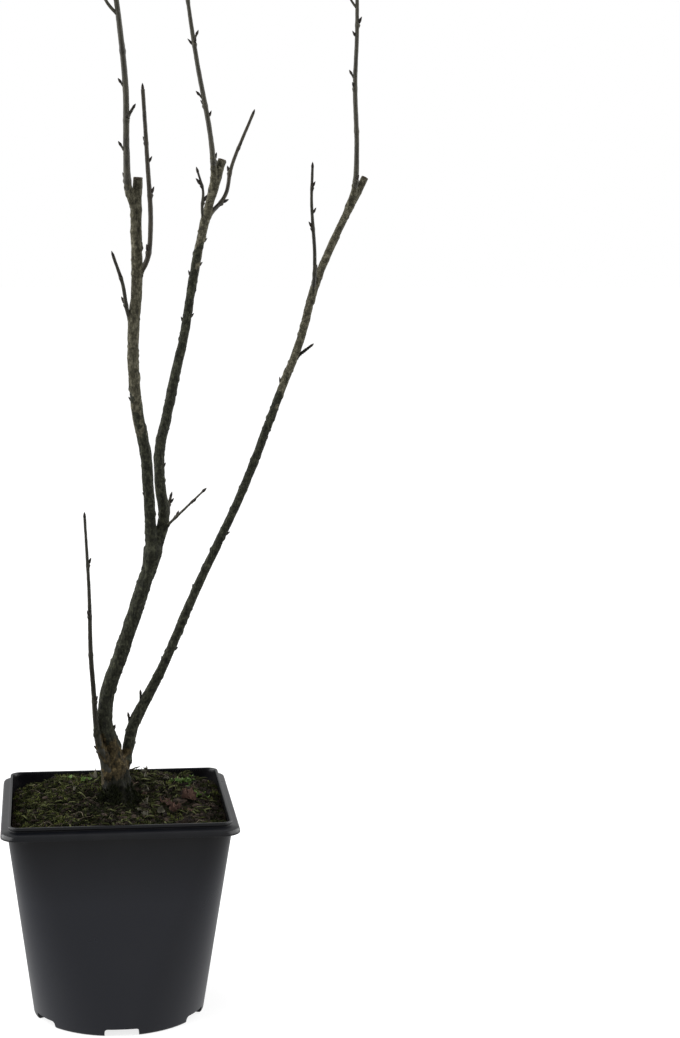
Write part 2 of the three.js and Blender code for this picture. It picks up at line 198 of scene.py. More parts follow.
def closed_skin(rings):
    """A closed tube or bowl from equal rings, each end filled from its middle."""
    rings = np.asarray(rings, float)
    rows, columns, _ = rings.shape
    points = np.concatenate([rings.reshape(-1, 3), rings[0].mean(0)[None], rings[-1].mean(0)[None]])
    here = np.arange(columns)
    beside = (here + 1) % columns
    start = rows * columns
    last = start - columns
    first_cap = np.stack([np.full(columns, start), beside, here], 1)
    last_cap = np.stack([np.full(columns, start + 1), last + here, last + beside], 1)
    return points, np.concatenate([grid_triangles(rows, columns), first_cap, last_cap])


def vertex_values(mesh, name):
    """The place or the normal of each vertex."""
    values = np.empty(3 * len(mesh.vertices), np.float32)
    mesh.vertices.foreach_get(name, values)
    return values.reshape(-1, 3).astype(float)


def paint(made, materials, numbers):
    """Gives an object its materials, and each of its faces the number of one of them."""
    made.data.materials.clear()
    for material in materials:
        made.data.materials.append(material)
    made.data.polygons.foreach_set("material_index", np.asarray(numbers, np.int32))


def settle(made):
    """Applies an object's modifiers to its mesh."""
    bpy.context.view_layer.update()
    evaluated = made.evaluated_get(bpy.context.evaluated_depsgraph_get())
    mesh = bpy.data.meshes.new_from_object(evaluated)
    made.modifiers.clear()
    old = made.data
    made.data = mesh
    bpy.data.meshes.remove(old)


def cut(made, tools):
    """Cuts the joined tools out of an object."""
    cutter = linked("cutter", mesh_from("cutter", *joined(tools)))
    modifier = made.modifiers.new("cut", "BOOLEAN")
    adjusted(modifier, operation="DIFFERENCE", solver="MANIFOLD", object=cutter)
    settle(made)
    bpy.data.objects.remove(cutter)


# Materials

# Where a colour mixing node has its colours
FIRST_COLOR = 6
SECOND_COLOR = 7
MIXED_COLOR = 2


class Nodes:
    """A short way to write the node tree of a material or world."""

    def __init__(self, owner):
        owner.use_nodes = True
        self.owner = owner
        self.tree = owner.node_tree

    def link(self, value, socket):
        if isinstance(value, bpy.types.NodeSocket):
            self.tree.links.new(value, socket)
        else:
            socket.default_value = (*value, 1) if socket.type == "RGBA" else value

    def add(self, kind, output, inputs, **settings):
        """An output of a new node with the given inputs and settings."""
        node = adjusted(self.tree.nodes.new("ShaderNode" + kind), **settings)
        for name, value in inputs.items():
            self.link(value, node.inputs[name])
        return node.outputs[output]


class Surface(Nodes):
    """A new material. Its patterns lie in the object's own space, and scales count features per metre."""

    def __init__(self, name):
        super().__init__(bpy.data.materials.new(name))
        self.where = self.add("TexCoord", "Object", {})

    def squeezed(self, scale):
        """The place with its height scaled, which draws patterns out along the height below 1."""
        return self.add("Mapping", "Vector", {"Vector": self.where, "Scale": (1, 1, scale)})

    def noise(self, scale, detail, rough, place=None, distortion=0.0):
        inputs = {"Scale": scale, "Detail": detail, "Roughness": rough, "Distortion": distortion}
        return self.add("TexNoise", "Fac", {"Vector": place or self.where, **inputs})

    def cells(self, scale, place=None):
        return self.add("TexVoronoi", "Distance", {"Vector": place or self.where, "Scale": scale})

    def dots(self, scale, height_scale, radius):
        """Dots that fade from 1 in their middle to 0 at their radius, a share of their spacing."""
        return self.spread(self.cells(scale, self.squeezed(height_scale)), 0.0, radius, 1.0, 0.0)

    def plus(self, a, b):
        return self.add("Math", "Value", {0: a, 1: b}, operation="ADD")

    def times(self, a, b):
        return self.add("Math", "Value", {0: a, 1: b}, operation="MULTIPLY")

    def spread(self, value, low, high, to_low=0.0, to_high=1.0):
        inputs = {"From Min": low, "From Max": high, "To Min": to_low, "To Max": to_high}
        return self.add("MapRange", "Result", {"Value": value, **inputs})

    def ramp(self, value, stops):
        color = self.add("ValToRGB", "Color", {"Fac": value})
        elements = color.node.color_ramp.elements
        while len(elements) < len(stops):
            elements.new(0.5)
        for element, (place, stop_color) in zip(elements, stops):
            adjusted(element, position=place, color=(*stop_color, 1))
        return color

    def tinted(self, base, color, pattern, most=1.0):
        """The base colour mixed with another, up to the share `most` where the pattern is 1."""
        inputs = {0: self.times(pattern, most), FIRST_COLOR: base, SECOND_COLOR: color}
        return self.add("Mix", MIXED_COLOR, inputs, data_type="RGBA")

    def bump(self, *layers):
        """Bumps from (height, distance in mm) pairs, coarsest first."""
        normal = None
        for height, distance in layers:
            inputs = {"Distance": distance * MM, "Height": height}
            if normal:
                inputs["Normal"] = normal
            normal = self.add("Bump", "Normal", inputs)
        self.finish(Normal=normal)

    def finish(self, **inputs):
        """Gives the shader its inputs by name, with _ for a space, and returns the material."""
        shader = self.tree.nodes["Principled BSDF"]
        for name, value in inputs.items():
            self.link(value, shader.inputs[name.replace("_", " ")])
        return self.owner


def pot_plastic():
    """Black moulded plastic: satin, darkened towards the rim and collar by painted shade, lighter lower
    down, with dust, streaks and scuffs.
    """
    n = Surface("pot_plastic")
    cloud = n.noise(14, 5, 0.6)
    streak = n.noise(30, 4, 0.6, n.squeezed(0.12))
    grain = n.noise(1800, 2, 0.5)
    scuff = n.spread(n.noise(60, 8, 0.75, n.squeezed(2.5), 0.4), 0.62, 0.78)
    height = n.add("SeparateXYZ", "Z", {"Vector": n.where})
    # Painted shade: this mask is 0 at the rim and collar and 1 lower down, below the collar's shadow.
    low = n.spread(n.plus(height, n.times(cloud, 0.012)), 0.158, 0.108)
    dust = n.times(n.spread(cloud, 0.45, 0.75), n.spread(streak, 0.4, 0.7))
    # The first colour is the painted shade by the rim, the second the plastic's own colour lower down.
    color = n.tinted((0.0024, 0.0028, 0.0042), (0.0165, 0.0178, 0.0235), low)
    color = n.tinted(color, (0.038, 0.037, 0.036), dust, 0.2)
    color = n.tinted(color, (0.045, 0.045, 0.047), scuff, 0.15)
    n.bump((streak, 0.1), (grain, 0.03))
    rough = n.spread(cloud, 0.3, 0.7, 0.26, 0.36)
    return n.finish(Base_Color=color, Roughness=rough, Specular_IOR_Level=0.36)


def bark(name, dark, middle, light):
    """Old bark: strongly mottled along the limb, with dark pits and small corky pores."""
    n = Surface(name)
    mottle = n.noise(360, 6, 0.66)
    fibre = n.noise(640, 5, 0.6, n.squeezed(0.3), 0.3)
    pits = n.dots(480, 0.45, 0.34)
    pores = n.dots(260, 0.6, 0.16)
    tone = n.plus(n.times(mottle, 0.6), n.times(fibre, 0.4))
    base = n.ramp(tone, [(0.38, dark), (0.5, middle), (0.62, light)])
    base = n.tinted(n.tinted(base, dark, pits, 0.55), light, pores, 0.5)
    n.bump((fibre, 0.6), (mottle, 0.5), (pits, -0.2), (pores, 0.15))
    rough = n.spread(mottle, 0.3, 0.7, 0.75, 0.95)
    return n.finish(Base_Color=base, Roughness=rough, Specular_IOR_Level=0.18)


def shoot_bark(name, dark, light):
    """Young bark: smooth, thin and faintly glossy, peeling in fine strips."""
    n = Surface(name)
    fibre = n.noise(700, 4, 0.6, n.squeezed(0.12), 0.2)
    patch = n.noise(70, 4, 0.55)
    specks = n.dots(420, 0.55, 0.22)
    tone = n.plus(n.times(fibre, 0.5), n.times(patch, 0.5))
    base = n.tinted(n.ramp(tone, [(0.36, dark), (0.64, light)]), (0.16, 0.138, 0.1), specks, 0.3)
    n.bump((fibre, 0.22), (specks, 0.1))
    rough = n.spread(patch, 0.3, 0.7, 0.5, 0.72)
    return n.finish(Base_Color=base, Roughness=rough, Specular_IOR_Level=0.28)


def mottled(name, grain, stops, relief, rough, specular, clumps=0):
    """A matt surface whose colours and relief follow one noise, of a given scale, detail and roughness."""
    n = Surface(name)
    tone = n.noise(*grain)
    layers = [(tone, relief)]
    if clumps:
        layers.insert(0, (n.cells(clumps), 1.0))
    n.bump(*layers)
    return n.finish(Base_Color=n.ramp(tone, stops), Roughness=rough, Specular_IOR_Level=specular)


def loose_stuff(name, dark, light, scale=350, rough=0.9):
    """A matt natural surface that varies between two tones."""
    return mottled(name, (scale, 4, 0.6), [(0.35, dark), (0.65, light)], 0.2, rough, 0.15)


def stained_and_shaded_plastic():
    """The pot's inner side, matt, with damp peat stains, and darkened as painted shade."""
    # The near-black tones are painted shade on the inner wall, the brown tone is peat stain.
    stops = [(0.35, (0.003, 0.003, 0.004)), (0.6, (0.008, 0.0075, 0.008)), (0.75, (0.022, 0.017, 0.012))]
    return mottled("stained_and_shaded_plastic", (120, 7, 0.68), stops, 0.4, 0.8, 0.04)


def cut_wood():
    """Weathered end grain of an old pruning cut."""
    stops = [(0.3, (0.03, 0.026, 0.02)), (0.55, (0.085, 0.07, 0.05)), (0.75, (0.16, 0.135, 0.1))]
    return mottled("cut_wood", (900, 4, 0.6), stops, 0.3, 0.9, 0.25)


def potting_soil():
    """Damp peat and composted bark."""
    stops = [(0.35, (0.003, 0.0025, 0.002)), (0.55, (0.01, 0.007, 0.005)), (0.72, (0.04, 0.028, 0.018))]
    return mottled("potting_soil", (260, 8, 0.68), stops, 1.6, 0.95, 0.12, 160)


def floor_paper():
    """White paper lit from below too, so that shadows on it stay faint."""
    n = Surface("floor_paper")
    fibre = n.noise(400, 3, 0.5)
    base = n.ramp(fibre, [(0.3, (0.29, 0.29, 0.29)), (0.7, (0.31, 0.31, 0.31))])
    n.bump((fibre, 0.05))
    n.finish(Emission_Color=(1, 1, 1), Emission_Strength=0.8)
    return n.finish(Base_Color=base, Roughness=0.9, Specular_IOR_Level=0.0)


# The pot

POT_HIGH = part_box("pot")[1]
POT_HEIGHT = POT_HIGH[2] / MM
COLLAR_HALF = POT_HIGH[0] / MM
FOOT_RADIUS = 63.2
BODY_TOP_HALF = 81.2
BODY_TOP_CORNER = 16.5
WALL = 1.8
FLOOR = 8.0
LIP_HALF = 79.5
LIP_CORNER = 8.0
OPENING_HALF = 77.6
COLLAR_CORNER = 13.0
COLLAR_LEVEL = 154.4
SKIRT_LEVEL = 153.3
POT_COLUMNS = 336
OUTER_RINGS = 50
LOWEST_RINGS = (1.2, 2.2)
DROPS_UNDER_LIP = (2.5, 4.5, 6)
INNER_RINGS = 26
CORNER_CROWDING = 0.6
SHARP_ANGLE = 38
# The foot's rounded edge: inset and height
FOOT_BEND = [(2.6, 0), (1.4, 0.05), (0.6, 0.4)]

CHANNELS = 6
CHANNEL_WIDTH = 25.0
CHANNEL_DEPTH = 5.5
CHANNEL_BEND = 2.4
PAD_RADIUS = 26.0
HOLE_RADIUS = 5.5
HOLE_AT = 46.0
HOLE_SIDES = 32
TOOL_FOOT = -5.0


def square_reach(half, corner, angle):
    """Distance from the axis to a rounded square of the given half width."""
    c, s = np.abs(np.cos(angle)), np.abs(np.sin(angle))
    flat = half - corner
    longer, shorter = np.maximum(c, s), np.minimum(c, s)
    across = flat * (c - s)
    bend = flat * (c + s) + np.sqrt(np.maximum(corner ** 2 - across ** 2, 0))
    return np.where(shorter * half <= flat * longer, half / longer, bend)


def pot_turns():
    """Turns round the pot, crowded towards its corners."""
    quarter = np.linspace(0, 4, POT_COLUMNS, endpoint=False)
    return WHOLE_TURN / 4 * (quarter + CORNER_CROWDING * np.sin(WHOLE_TURN * quarter) / WHOLE_TURN)


def wall_reach(z, angle, inset=0.0):
    """Distance from the axis to the body's wall, a circle at the foot and a rounded square at the top."""
    up = z / POT_HEIGHT
    half = FOOT_RADIUS + (BODY_TOP_HALF - FOOT_RADIUS) * up
    corner = FOOT_RADIUS + (BODY_TOP_CORNER - FOOT_RADIUS) * up
    return square_reach(half - inset, corner - inset, angle)


def wall_ring(z, angle, inset=0.0):
    return ring_at(wall_reach(z, angle, inset), angle, z)


def rim_reach(half, angle):
    """Distance from the axis to a level of the rim, whose corners grow rounder from lip to collar."""
    outwards = (half - LIP_HALF) / (COLLAR_HALF - LIP_HALF)
    return square_reach(half, LIP_CORNER + (COLLAR_CORNER - LIP_CORNER) * outwards, angle)


def bend(start, corner, end, steps=5):
    """Points of a smooth bend from start past a corner to end."""
    start, corner, end = (np.array(p, float) for p in (start, corner, end))
    share = np.linspace(0, 1, steps + 1)[:, None]
    return list((1 - share) ** 2 * start + 2 * share * (1 - share) * corner + share ** 2 * end)


def rim_outline():
    """The rim's section as (half width, height): hollow skirt, sloping collar, groove, lip, opening."""
    top = POT_HEIGHT
    hollow = SKIRT_LEVEL + 2
    skirt, collar, lip, opening = COLLAR_HALF - 1.6, COLLAR_HALF, LIP_HALF, OPENING_HALF
    foot, brow = SKIRT_LEVEL, COLLAR_LEVEL + 1.5
    bends = [
        ((lip + 1, hollow - 1.4), (lip + 1.1, hollow), (lip + 2.2, hollow)),
        ((skirt - 0.9, hollow - 0.5), (skirt - 0.1, hollow - 0.7), (skirt, hollow - 1.4)),
        ((skirt + 0.05, foot + 0.4), (skirt + 0.1, foot), (skirt + 0.5, foot)),
        ((collar - 0.6, foot), (collar, foot), (collar, COLLAR_LEVEL - 0.4)),
        ((collar, COLLAR_LEVEL), (collar - 0.2, brow + 1.2), (collar - 1.5, brow + 1.5)),
        ((lip + 1, top - 3.9), (lip + 0.1, top - 3.6), (lip - 0.5, top - 3.4)),
        ((lip - 0.75, top - 3.3), (lip - 0.8, top - 2.2), (lip - 0.3, top - 2.1)),
        ((lip - 0.1, top - 2.05), (lip, top - 2), (lip, top - 1.7), 3),
        ((lip, top - 0.6), (lip, top), (lip - 0.6, top)),
        ((opening + 0.6, top), (opening, top), (opening, top - 0.6)),
    ]
    return [point for places in bends for point in bend(*places)]


def is_inner_wall(face):
    """Whether a face of the pot is on its inner side, below the lip."""
    x, y, z = face.center / MM
    inwards = face.normal.x * x + face.normal.y * y < 0
    return bool(inwards and FLOOR < z < POT_HEIGHT - 1.5 and max(abs(x), abs(y)) < LIP_HALF)


def pot_shell(plastic, stained_and_shaded):
    """The pot's shell with its collar, thin lip, feet and drain holes."""
    angle = pot_turns()
    rings = [ring_at(FOOT_RADIUS - inset, angle, z) for inset, z in FOOT_BEND]
    outside = (*LOWEST_RINGS, *np.linspace(5, SKIRT_LEVEL - 1.3, OUTER_RINGS))
    rings += [wall_ring(z, angle) for z in outside]
    rings += [ring_at(rim_reach(half, angle), angle, z) for half, z in rim_outline()]
    for drop in DROPS_UNDER_LIP:
        reach = square_reach(OPENING_HALF + 0.05 * drop, LIP_CORNER + 0.5 * drop, angle)
        rings.append(ring_at(reach, angle, POT_HEIGHT - drop))
    inside = [(z, WALL) for z in np.linspace(SKIRT_LEVEL - 3.3, FLOOR + 4, INNER_RINGS)]
    inside += [(FLOOR + 1, WALL + 1), (FLOOR, WALL + 4)]
    rings += [wall_ring(z, angle, inset) for z, inset in inside]
    shell = piece("pot_shell", closed_skin(rings), plastic)
    cut(shell, channel_tools())
    cut(shell, hole_tools())
    shell.data.set_sharp_from_angle(angle=math.radians(SHARP_ANGLE))
    # The inner wall gets the stained plastic darkened by painted shade.
    paint(shell, [plastic, stained_and_shaded], [is_inner_wall(face) for face in shell.data.polygons])
    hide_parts("pot")


def round_the_foot(points, triangles):
    """One tool repeated at each drain channel, the first of them in front."""
    angles = [WHOLE_TURN * i / CHANNELS - WHOLE_TURN / 4 for i in range(CHANNELS)]
    return [(points @ np.array(Matrix.Rotation(angle, 3, "Z")).T, triangles) for angle in angles]


def channel_tools():
    half, top = CHANNEL_WIDTH / 2, CHANNEL_DEPTH
    section = [
        (half, TOOL_FOOT),
        *bend((half, top - CHANNEL_BEND), (half, top), (half - CHANNEL_BEND, top)),
        *bend((CHANNEL_BEND - half, top), (-half, top), (-half, top - CHANNEL_BEND)),
        (-half, TOOL_FOOT),
    ]
    rings = [[(x, y, z) for y, z in section] for x in (PAD_RADIUS, FOOT_RADIUS + 10)]
    return round_the_foot(*closed_skin(rings))


def hole_tools():
    heights = (CHANNEL_DEPTH - 1, FLOOR + 6)
    rings = [ring_at(HOLE_RADIUS, turns(HOLE_SIDES), z) + (HOLE_AT, 0, 0) for z in heights]
    return round_the_foot(*closed_skin(rings))


# Limb axes, by the same rule as the solids

CURVE_STEPS = 60
SEARCH_PARTS = 40


def girth_at(stations, share):
    """Radius at a share of the length, eased between [share, radius] stations."""
    share = np.asarray(share, float)
    radius = np.full(share.shape, float(stations[-1][1]))
    for (low, first), (high, second) in reversed(list(zip(stations, stations[1:]))):
        radius = np.where(share <= high, first + (second - first) * smoothstep(share, low, high), radius)
    return radius


def curve_through(points):
    """Points along a centripetal Catmull-Rom curve."""
    points = np.array(points, float)
    padded = np.concatenate([[2 * points[0] - points[1]], points, [2 * points[-1] - points[-2]]])
    t = np.linspace(0, 1, CURVE_STEPS, endpoint=False)[:, None]
    made = []
    for p0, p1, p2, p3 in zip(padded, padded[1:], padded[2:], padded[3:]):
        d0, d1, d2 = (np.linalg.norm(b - a) ** 0.5 for a, b in ((p0, p1), (p1, p2), (p2, p3)))
        start = ((p1 - p0) / d0 - (p2 - p0) / (d0 + d1) + (p2 - p1) / d1) * d1
        end = ((p2 - p1) / d1 - (p3 - p1) / (d1 + d2) + (p3 - p2) / d2) * d1
        eased = 3 * t ** 2 - 2 * t ** 3
        swing = (t ** 3 - 2 * t ** 2 + t) * start + (t ** 3 - t ** 2) * end
        made.append((1 - eased) * p1 + eased * p2 + swing)
    return np.concatenate([*made, points[-1:]])


class Axis:
    """A limb's centre line, with a section that doesn't twist."""

    def __init__(self, path, step):
        dense = curve_through(path)
        lengths = np.concatenate([[0], np.cumsum(np.linalg.norm(np.diff(dense, axis=0), axis=1))])
        self.length = lengths[-1]
        count = max(3, round(self.length / step))
        self.share = np.linspace(0, 1, count + 1)
        self.run = self.share * self.length
        self.at = np.stack([np.interp(self.run, lengths, dense[:, i]) for i in range(3)], 1)
        along = np.gradient(self.at, axis=0)
        self.along = along / np.linalg.norm(along, axis=1)[:, None]
        side = np.array([1.0, 0.0, 0.0])
        sides = []
        for direction in self.along:
            side = side - direction * side.dot(direction)
            side = side / np.linalg.norm(side)
            sides.append(side)
        self.side = np.array(sides)
        self.across = np.cross(self.along, self.side)

    def out(self, stations, turn):
        """Directions away from the axis at one or more stations, for one or more turns."""
        turn = np.asarray(turn)[..., None]
        return self.side[stations] * np.cos(turn) + self.across[stations] * np.sin(turn)

    def rings(self, radius):
        """Rings of points from one radius for each station and turn."""
        out = self.out(np.s_[:, None], turns(radius.shape[1]))
        return self.at[:, None] + out * radius[:, :, None]

    def near(self, points):
        """For each point: distance from the axis, distance along it, and turn round it."""
        parts = np.array_split(points, SEARCH_PARTS)
        nearest = np.concatenate([((part[:, None] - self.at) ** 2).sum(2).argmin(1) for part in parts])
        offset = points - self.at[nearest]
        ahead = (offset * self.along[nearest]).sum(1)
        inner = (nearest > 0) & (nearest < len(self.at) - 1)
        clear = offset - self.along[nearest] * np.where(inner, ahead, 0)[:, None]
        turn = np.arctan2((clear * self.across[nearest]).sum(1), (clear * self.side[nearest]).sum(1))
        return np.linalg.norm(clear, axis=1), self.run[nearest] + ahead, turn


# The woody frame

SOIL_SEAT = 159.0
WOOD_FOOT = 155.0
# Height in mm up to which the crown's foot gets its painted shade
PAINTED_SHADE_FOOT_UP_TO = 177
BROWN_UP_TO = 199
PAINTED_SHADE_FOOT, BROWN, OLIVE, PALE = range(4)
FLARE_RADIUS = 2.8
FLARE_HEIGHT = 6.0
FLARE_LOBES = 5
FLARE_DEPTH = 0.22
FLARE_TURN = 0.7
WOOD_STEP = 1.5
WOOD_VOXEL = 0.72
LIMB_SIDES = 28
FORK_BLEND = 1.1
FORK_FILL = 0.6
LARGEST_PUSH = 0.8
NODE_SPACING = 24.0
GROWN_IN = 11
CROWN_HEIGHTS = (172, 222)
CROWN_KNOBS = 1.5
SCAR_CURVE = 2.2
SCAR_LENGTH = 1.7
DENT_LENGTH = 0.8
DENT_BELOW = 2.4
RELIEF_SEED = 31
SMOOTHINGS = 3
PATCH_SIZE = (3.6, 3.6, 7)
PATCH_CONTRAST = 0.42
# Radii between which bark grows from young to old
BARK_AGES = (2.2, 7)
# How far the old bark stands over a mass's foot, and under it at its end
OVERGROWTH = (0.25, -0.12)
MASS_PALES = (250, 500)

# A limb's bark turns from olive to pale between the two heights in `pales`
LIMBS = {
    "trunk": {
        "path": [(0, 0, 159), (-1, 0, 177), (-3, -1, 197), (-9, -6, 219), (-6.5, -8, 244), (3.2, -9, 272),
                 (15.6, -12, 311), (24, -13.4, 337), (27, -14, 353)],
        "girth": [(0, 10.6), (0.1, 9.6), (0.14, 8), (0.19, 6.2), (0.34, 5.4), (0.9, 5.2), (0.98, 6.6),
                  (1, 5.6)],
        "pales": (320, 900),
    },
    "limb_left": {
        "path": [(25.6, -13.6, 345), (24.4, -17, 371), (22.6, -20, 400), (21, -22, 420), (14.3, -26, 457),
                 (12.3, -30, 502), (15, -34, 544), (14.6, -36.5, 590), (16, -38, 615.5)],
        "girth": [(0, 4.6), (0.12, 4), (0.35, 4.1), (0.9, 3.8), (1, 3.3)],
        "pales": (392, 500),
    },
    "limb_right": {
        "path": [(27.6, -13.8, 347), (34.4, -11, 372), (32, -6, 396), (32.1, -1, 420), (37.1, 4, 442),
                 (44.6, 10, 476), (50.7, 14, 501), (57.8, 20, 542), (65.7, 26, 579), (74.2, 30, 610),
                 (80.2, 32, 629)],
        "girth": [(0, 4.6), (0.12, 4), (0.4, 3.7), (0.55, 3.3), (0.88, 3.2), (0.95, 3.5), (1, 3.1)],
        "pales": (500, 620),
    },
    "stem_right": {
        "path": [(3, 2, 180), (7.5, 4, 195), (11.5, 6, 213), (33.6, 12, 255), (59.8, 21, 313),
                 (77.6, 26, 349), (96.4, 32, 388), (124, 41, 457), (139.2, 46, 495), (151.3, 52, 537),
                 (166.6, 57, 572), (189.7, 63, 617)],
        "girth": [(0, 4.4), (0.08, 4.2), (0.2, 3.4), (0.45, 3.1), (0.8, 3), (1, 2.7)],
        "pales": (400, 510),
    },
}


def root_flare(z, turn):
    spread = np.exp(-(np.maximum(z, SOIL_SEAT) - SOIL_SEAT) / FLARE_HEIGHT)
    return FLARE_RADIUS * spread * (1 + FLARE_DEPTH * np.sin(FLARE_LOBES * turn + FLARE_TURN))


def wood_axes():
    """The limbs, and the lowest stretch of each mass's stem, which the old bark has grown over."""
    axes = {}
    for name, limb in LIMBS.items():
        axis = Axis(limb["path"], WOOD_STEP)
        axis.girths = girth_at(limb["girth"], axis.share)
        axis.pales = limb["pales"]
        axes[name] = axis
    for name, stem in stems().items():
        axis = Axis(stem["path"], 1)
        end = int(np.searchsorted(axis.run, MASSES[name].get("grown_in", GROWN_IN)))
        radius = girth_at(stem["girth"], axis.share)[:end] + np.linspace(*OVERGROWTH, end)
        short = Axis(axis.at[:end], 1)
        short.girths = np.interp(short.share, np.linspace(0, 1, end), radius)
        short.pales = MASS_PALES
        axes[name] = short
    return axes


def wood_radius(name, axis, run, turn, z):
    radius = np.interp(run, axis.run, axis.girths)
    return radius + root_flare(z, turn) if name == "trunk" else radius


def bark_relief(axis, radius, run, turn, z, seed):
    """How far the bark stands out, in mm: lumps, long fissures, old bud scars and the knobbly crown."""
    around = np.stack([np.cos(turn) * radius, np.sin(turn) * radius], 1)

    def grain(width, length, along=run):
        return np.column_stack([around / width, along / length])

    lumps = layered(grain(3.4, 7), 2, seed)
    fissures = np.abs(layered(grain(1.5, 9), 3, seed + 7))
    pores = noise(grain(0.9, 1.6), seed + 13)
    age = smoothstep(radius, *BARK_AGES)
    warts = smoothstep(noise(grain(2.4, 2.8), seed + 17), 0.35, 0.8)
    relief = (0.16 + 0.3 * age) * lumps + (0.18 + 0.34 * age) * (0.35 - fissures)
    relief += 0.09 * pores + 0.4 * warts
    random = source_random(seed)
    scar_at = 8 + NODE_SPACING * random()
    scar_turn = WHOLE_TURN * random()
    while scar_at < axis.length:
        front = facing(turn, scar_turn, SCAR_CURVE)
        relief += (0.06 + 0.6 * front) * hump(run - scar_at, SCAR_LENGTH) * (1 - 0.4 * age)
        relief -= 0.3 * front * hump(run - scar_at + DENT_BELOW, DENT_LENGTH)
        scar_at += NODE_SPACING * (0.6 + 0.7 * random())
        scar_turn += GOLDEN_TURN
    crown = 1 - smoothstep(z, *CROWN_HEIGHTS)
    return relief + crown * CROWN_KNOBS * layered(grain(6.5, 7.5, z), 3, seed + 21)


def blended(fields):
    """A smooth minimum of distances, and the share that each has in it."""
    fields = np.array(fields)
    lowest = fields.min(0)
    weights = np.exp(-(fields - lowest) / FORK_BLEND)
    total = weights.sum(0)
    return lowest - FORK_BLEND * np.log(total) * FORK_FILL, weights / total


def bark_tones(points, axes, shares):
    """The bark at each point: painted shade at the foot, brown at the crown, then olive, and pale higher
    up.
    """
    heights = points[:, 2]
    patches = layered(points / PATCH_SIZE, 2, 77)
    paleness = np.zeros(len(points))
    for axis, share in zip(axes.values(), shares):
        paleness += share * smoothstep(heights, *axis.pales)
    tones = np.where(paleness + PATCH_CONTRAST * patches > 0.5, PALE, OLIVE)
    tones[heights + 13 * patches + 0.9 * points[:, 0] < BROWN_UP_TO] = BROWN
    # Painted shade: the lowest bark round the crown's foot gets a near-black tone.
    tones[heights + 7 * patches - 0.3 * points[:, 0] < PAINTED_SHADE_FOOT_UP_TO] = PAINTED_SHADE_FOOT
    return tones


def first_vertices(mesh):
    """The first vertex of each face."""
    starts = np.empty(len(mesh.polygons), np.int32)
    mesh.polygons.foreach_get("loop_start", starts)
    corners = np.empty(len(mesh.loops), np.int32)
    mesh.loops.foreach_get("vertex_index", corners)
    return corners[starts]


def bush_wood(barks):
    """Trunk and limbs as one skin, grown together at the forks, with the bark's relief."""
    axes = wood_axes()
    parts = []
    turn = turns(LIMB_SIDES)
    for name, axis in axes.items():
        radius = wood_radius(name, axis, axis.run[:, None], turn[None], axis.at[:, 2:3]) + 0 * turn
        rings = axis.rings(radius)
        if name == "trunk":
            rings[0][:, 2] = SOIL_SEAT
            sunk = rings[0].copy()
            sunk[:, 2] = WOOD_FOOT
            rings = np.concatenate([sunk[None], rings])
        parts.append(closed_skin(rings))
    wood = piece("bush_wood", parts, barks[OLIVE])
    adjusted(wood.modifiers.new("skin", "REMESH"), mode="VOXEL", voxel_size=WOOD_VOXEL * MM)
    adjusted(wood.modifiers.new("smooth", "SMOOTH"), iterations=SMOOTHINGS)
    settle(wood)
    for with_relief in (False, False, True):
        shares = push(wood.data, axes, with_relief)
    tones = bark_tones(vertex_values(wood.data, "co") / MM, axes, shares)
    paint(wood, barks, tones[first_vertices(wood.data)])
    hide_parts(*LIMBS)


def push(mesh, axes, with_relief):
    """Moves the skin onto the blended limbs, or by the bark's relief. Returns each limb's share."""
    points, normals = vertex_values(mesh, "co") / MM, vertex_values(mesh, "normal")
    fields, reliefs = [], []
    for seed, (name, axis) in enumerate(axes.items()):
        away, run, turn = axis.near(points)
        radius = wood_radius(name, axis, run, turn, points[:, 2])
        fields.append(away - radius)
        if with_relief:
            reliefs.append(bark_relief(axis, radius, run, turn, points[:, 2], RELIEF_SEED + 5 * seed))
    distance, shares = blended(fields)
    inner = points[:, 2] > WOOD_FOOT + 1
    if with_relief:
        move = (np.array(reliefs) * shares).sum(0)
    else:
        move = -np.clip(distance, -LARGEST_PUSH, LARGEST_PUSH)
        for name in LIMBS:
            ends = np.linalg.norm(points - axes[name].at[-1], axis=1)
            inner &= ends > 1.1 * axes[name].girths[-1] + 0.5
    points[inner] += normals[inner] * move[inner, None]
    mesh.vertices.foreach_set("co", (points * MM).astype(np.float32).ravel())
    mesh.update()
    mesh.polygons.foreach_set("use_smooth", np.ones(len(mesh.polygons), bool))
    return shares


# The leafless masses, by the same rule as the solids and carried to finer detail

TWIG_STEP = 0.8
TWIG_SIDES = 14
BUD_LENGTH = 5.4
BUD_RADIUS = 1.25
BUD_LEAN = 0.5
SPUR_GIRTH_SHARE = 0.17
SPUR_RADII = (1.1, 1.7)
SPUR_RISE = 1.6
PEG_BUD_SHARE = 0.8
WOODY_SPUR = 7
COLLAR_SWELL = 0.12
COLLAR_FADE = 2.6
# The shelf under a bud: how far below it, its height and length, and those of the swelling round it
SHELF_BELOW = 0.9
SHELF = (0.62, 1.25)
SWELLING = (0.16, 1.8)
RIDGE_HEIGHT = 0.09
RIDGE_LENGTH = 11
RUFFLE = 0.075
BUD_WIDEST = 0.36
FIRST_BUD = 22
LAST_BUD = 0.97
# A side twig's places: shares of its length along its parent and away from it
SIDE_TWIG_BEND = ((0, 0), (0.2, 0.14), (0.6, 0.26), (1, 0.34))
SIDE_TWIG_GIRTH = 0.62
SIDE_TWIG_TAPER = 0.7
SIDE_TWIG_BUD_SPACING = 14
PEG_SCARS = 46
BUD_SCALES = 8

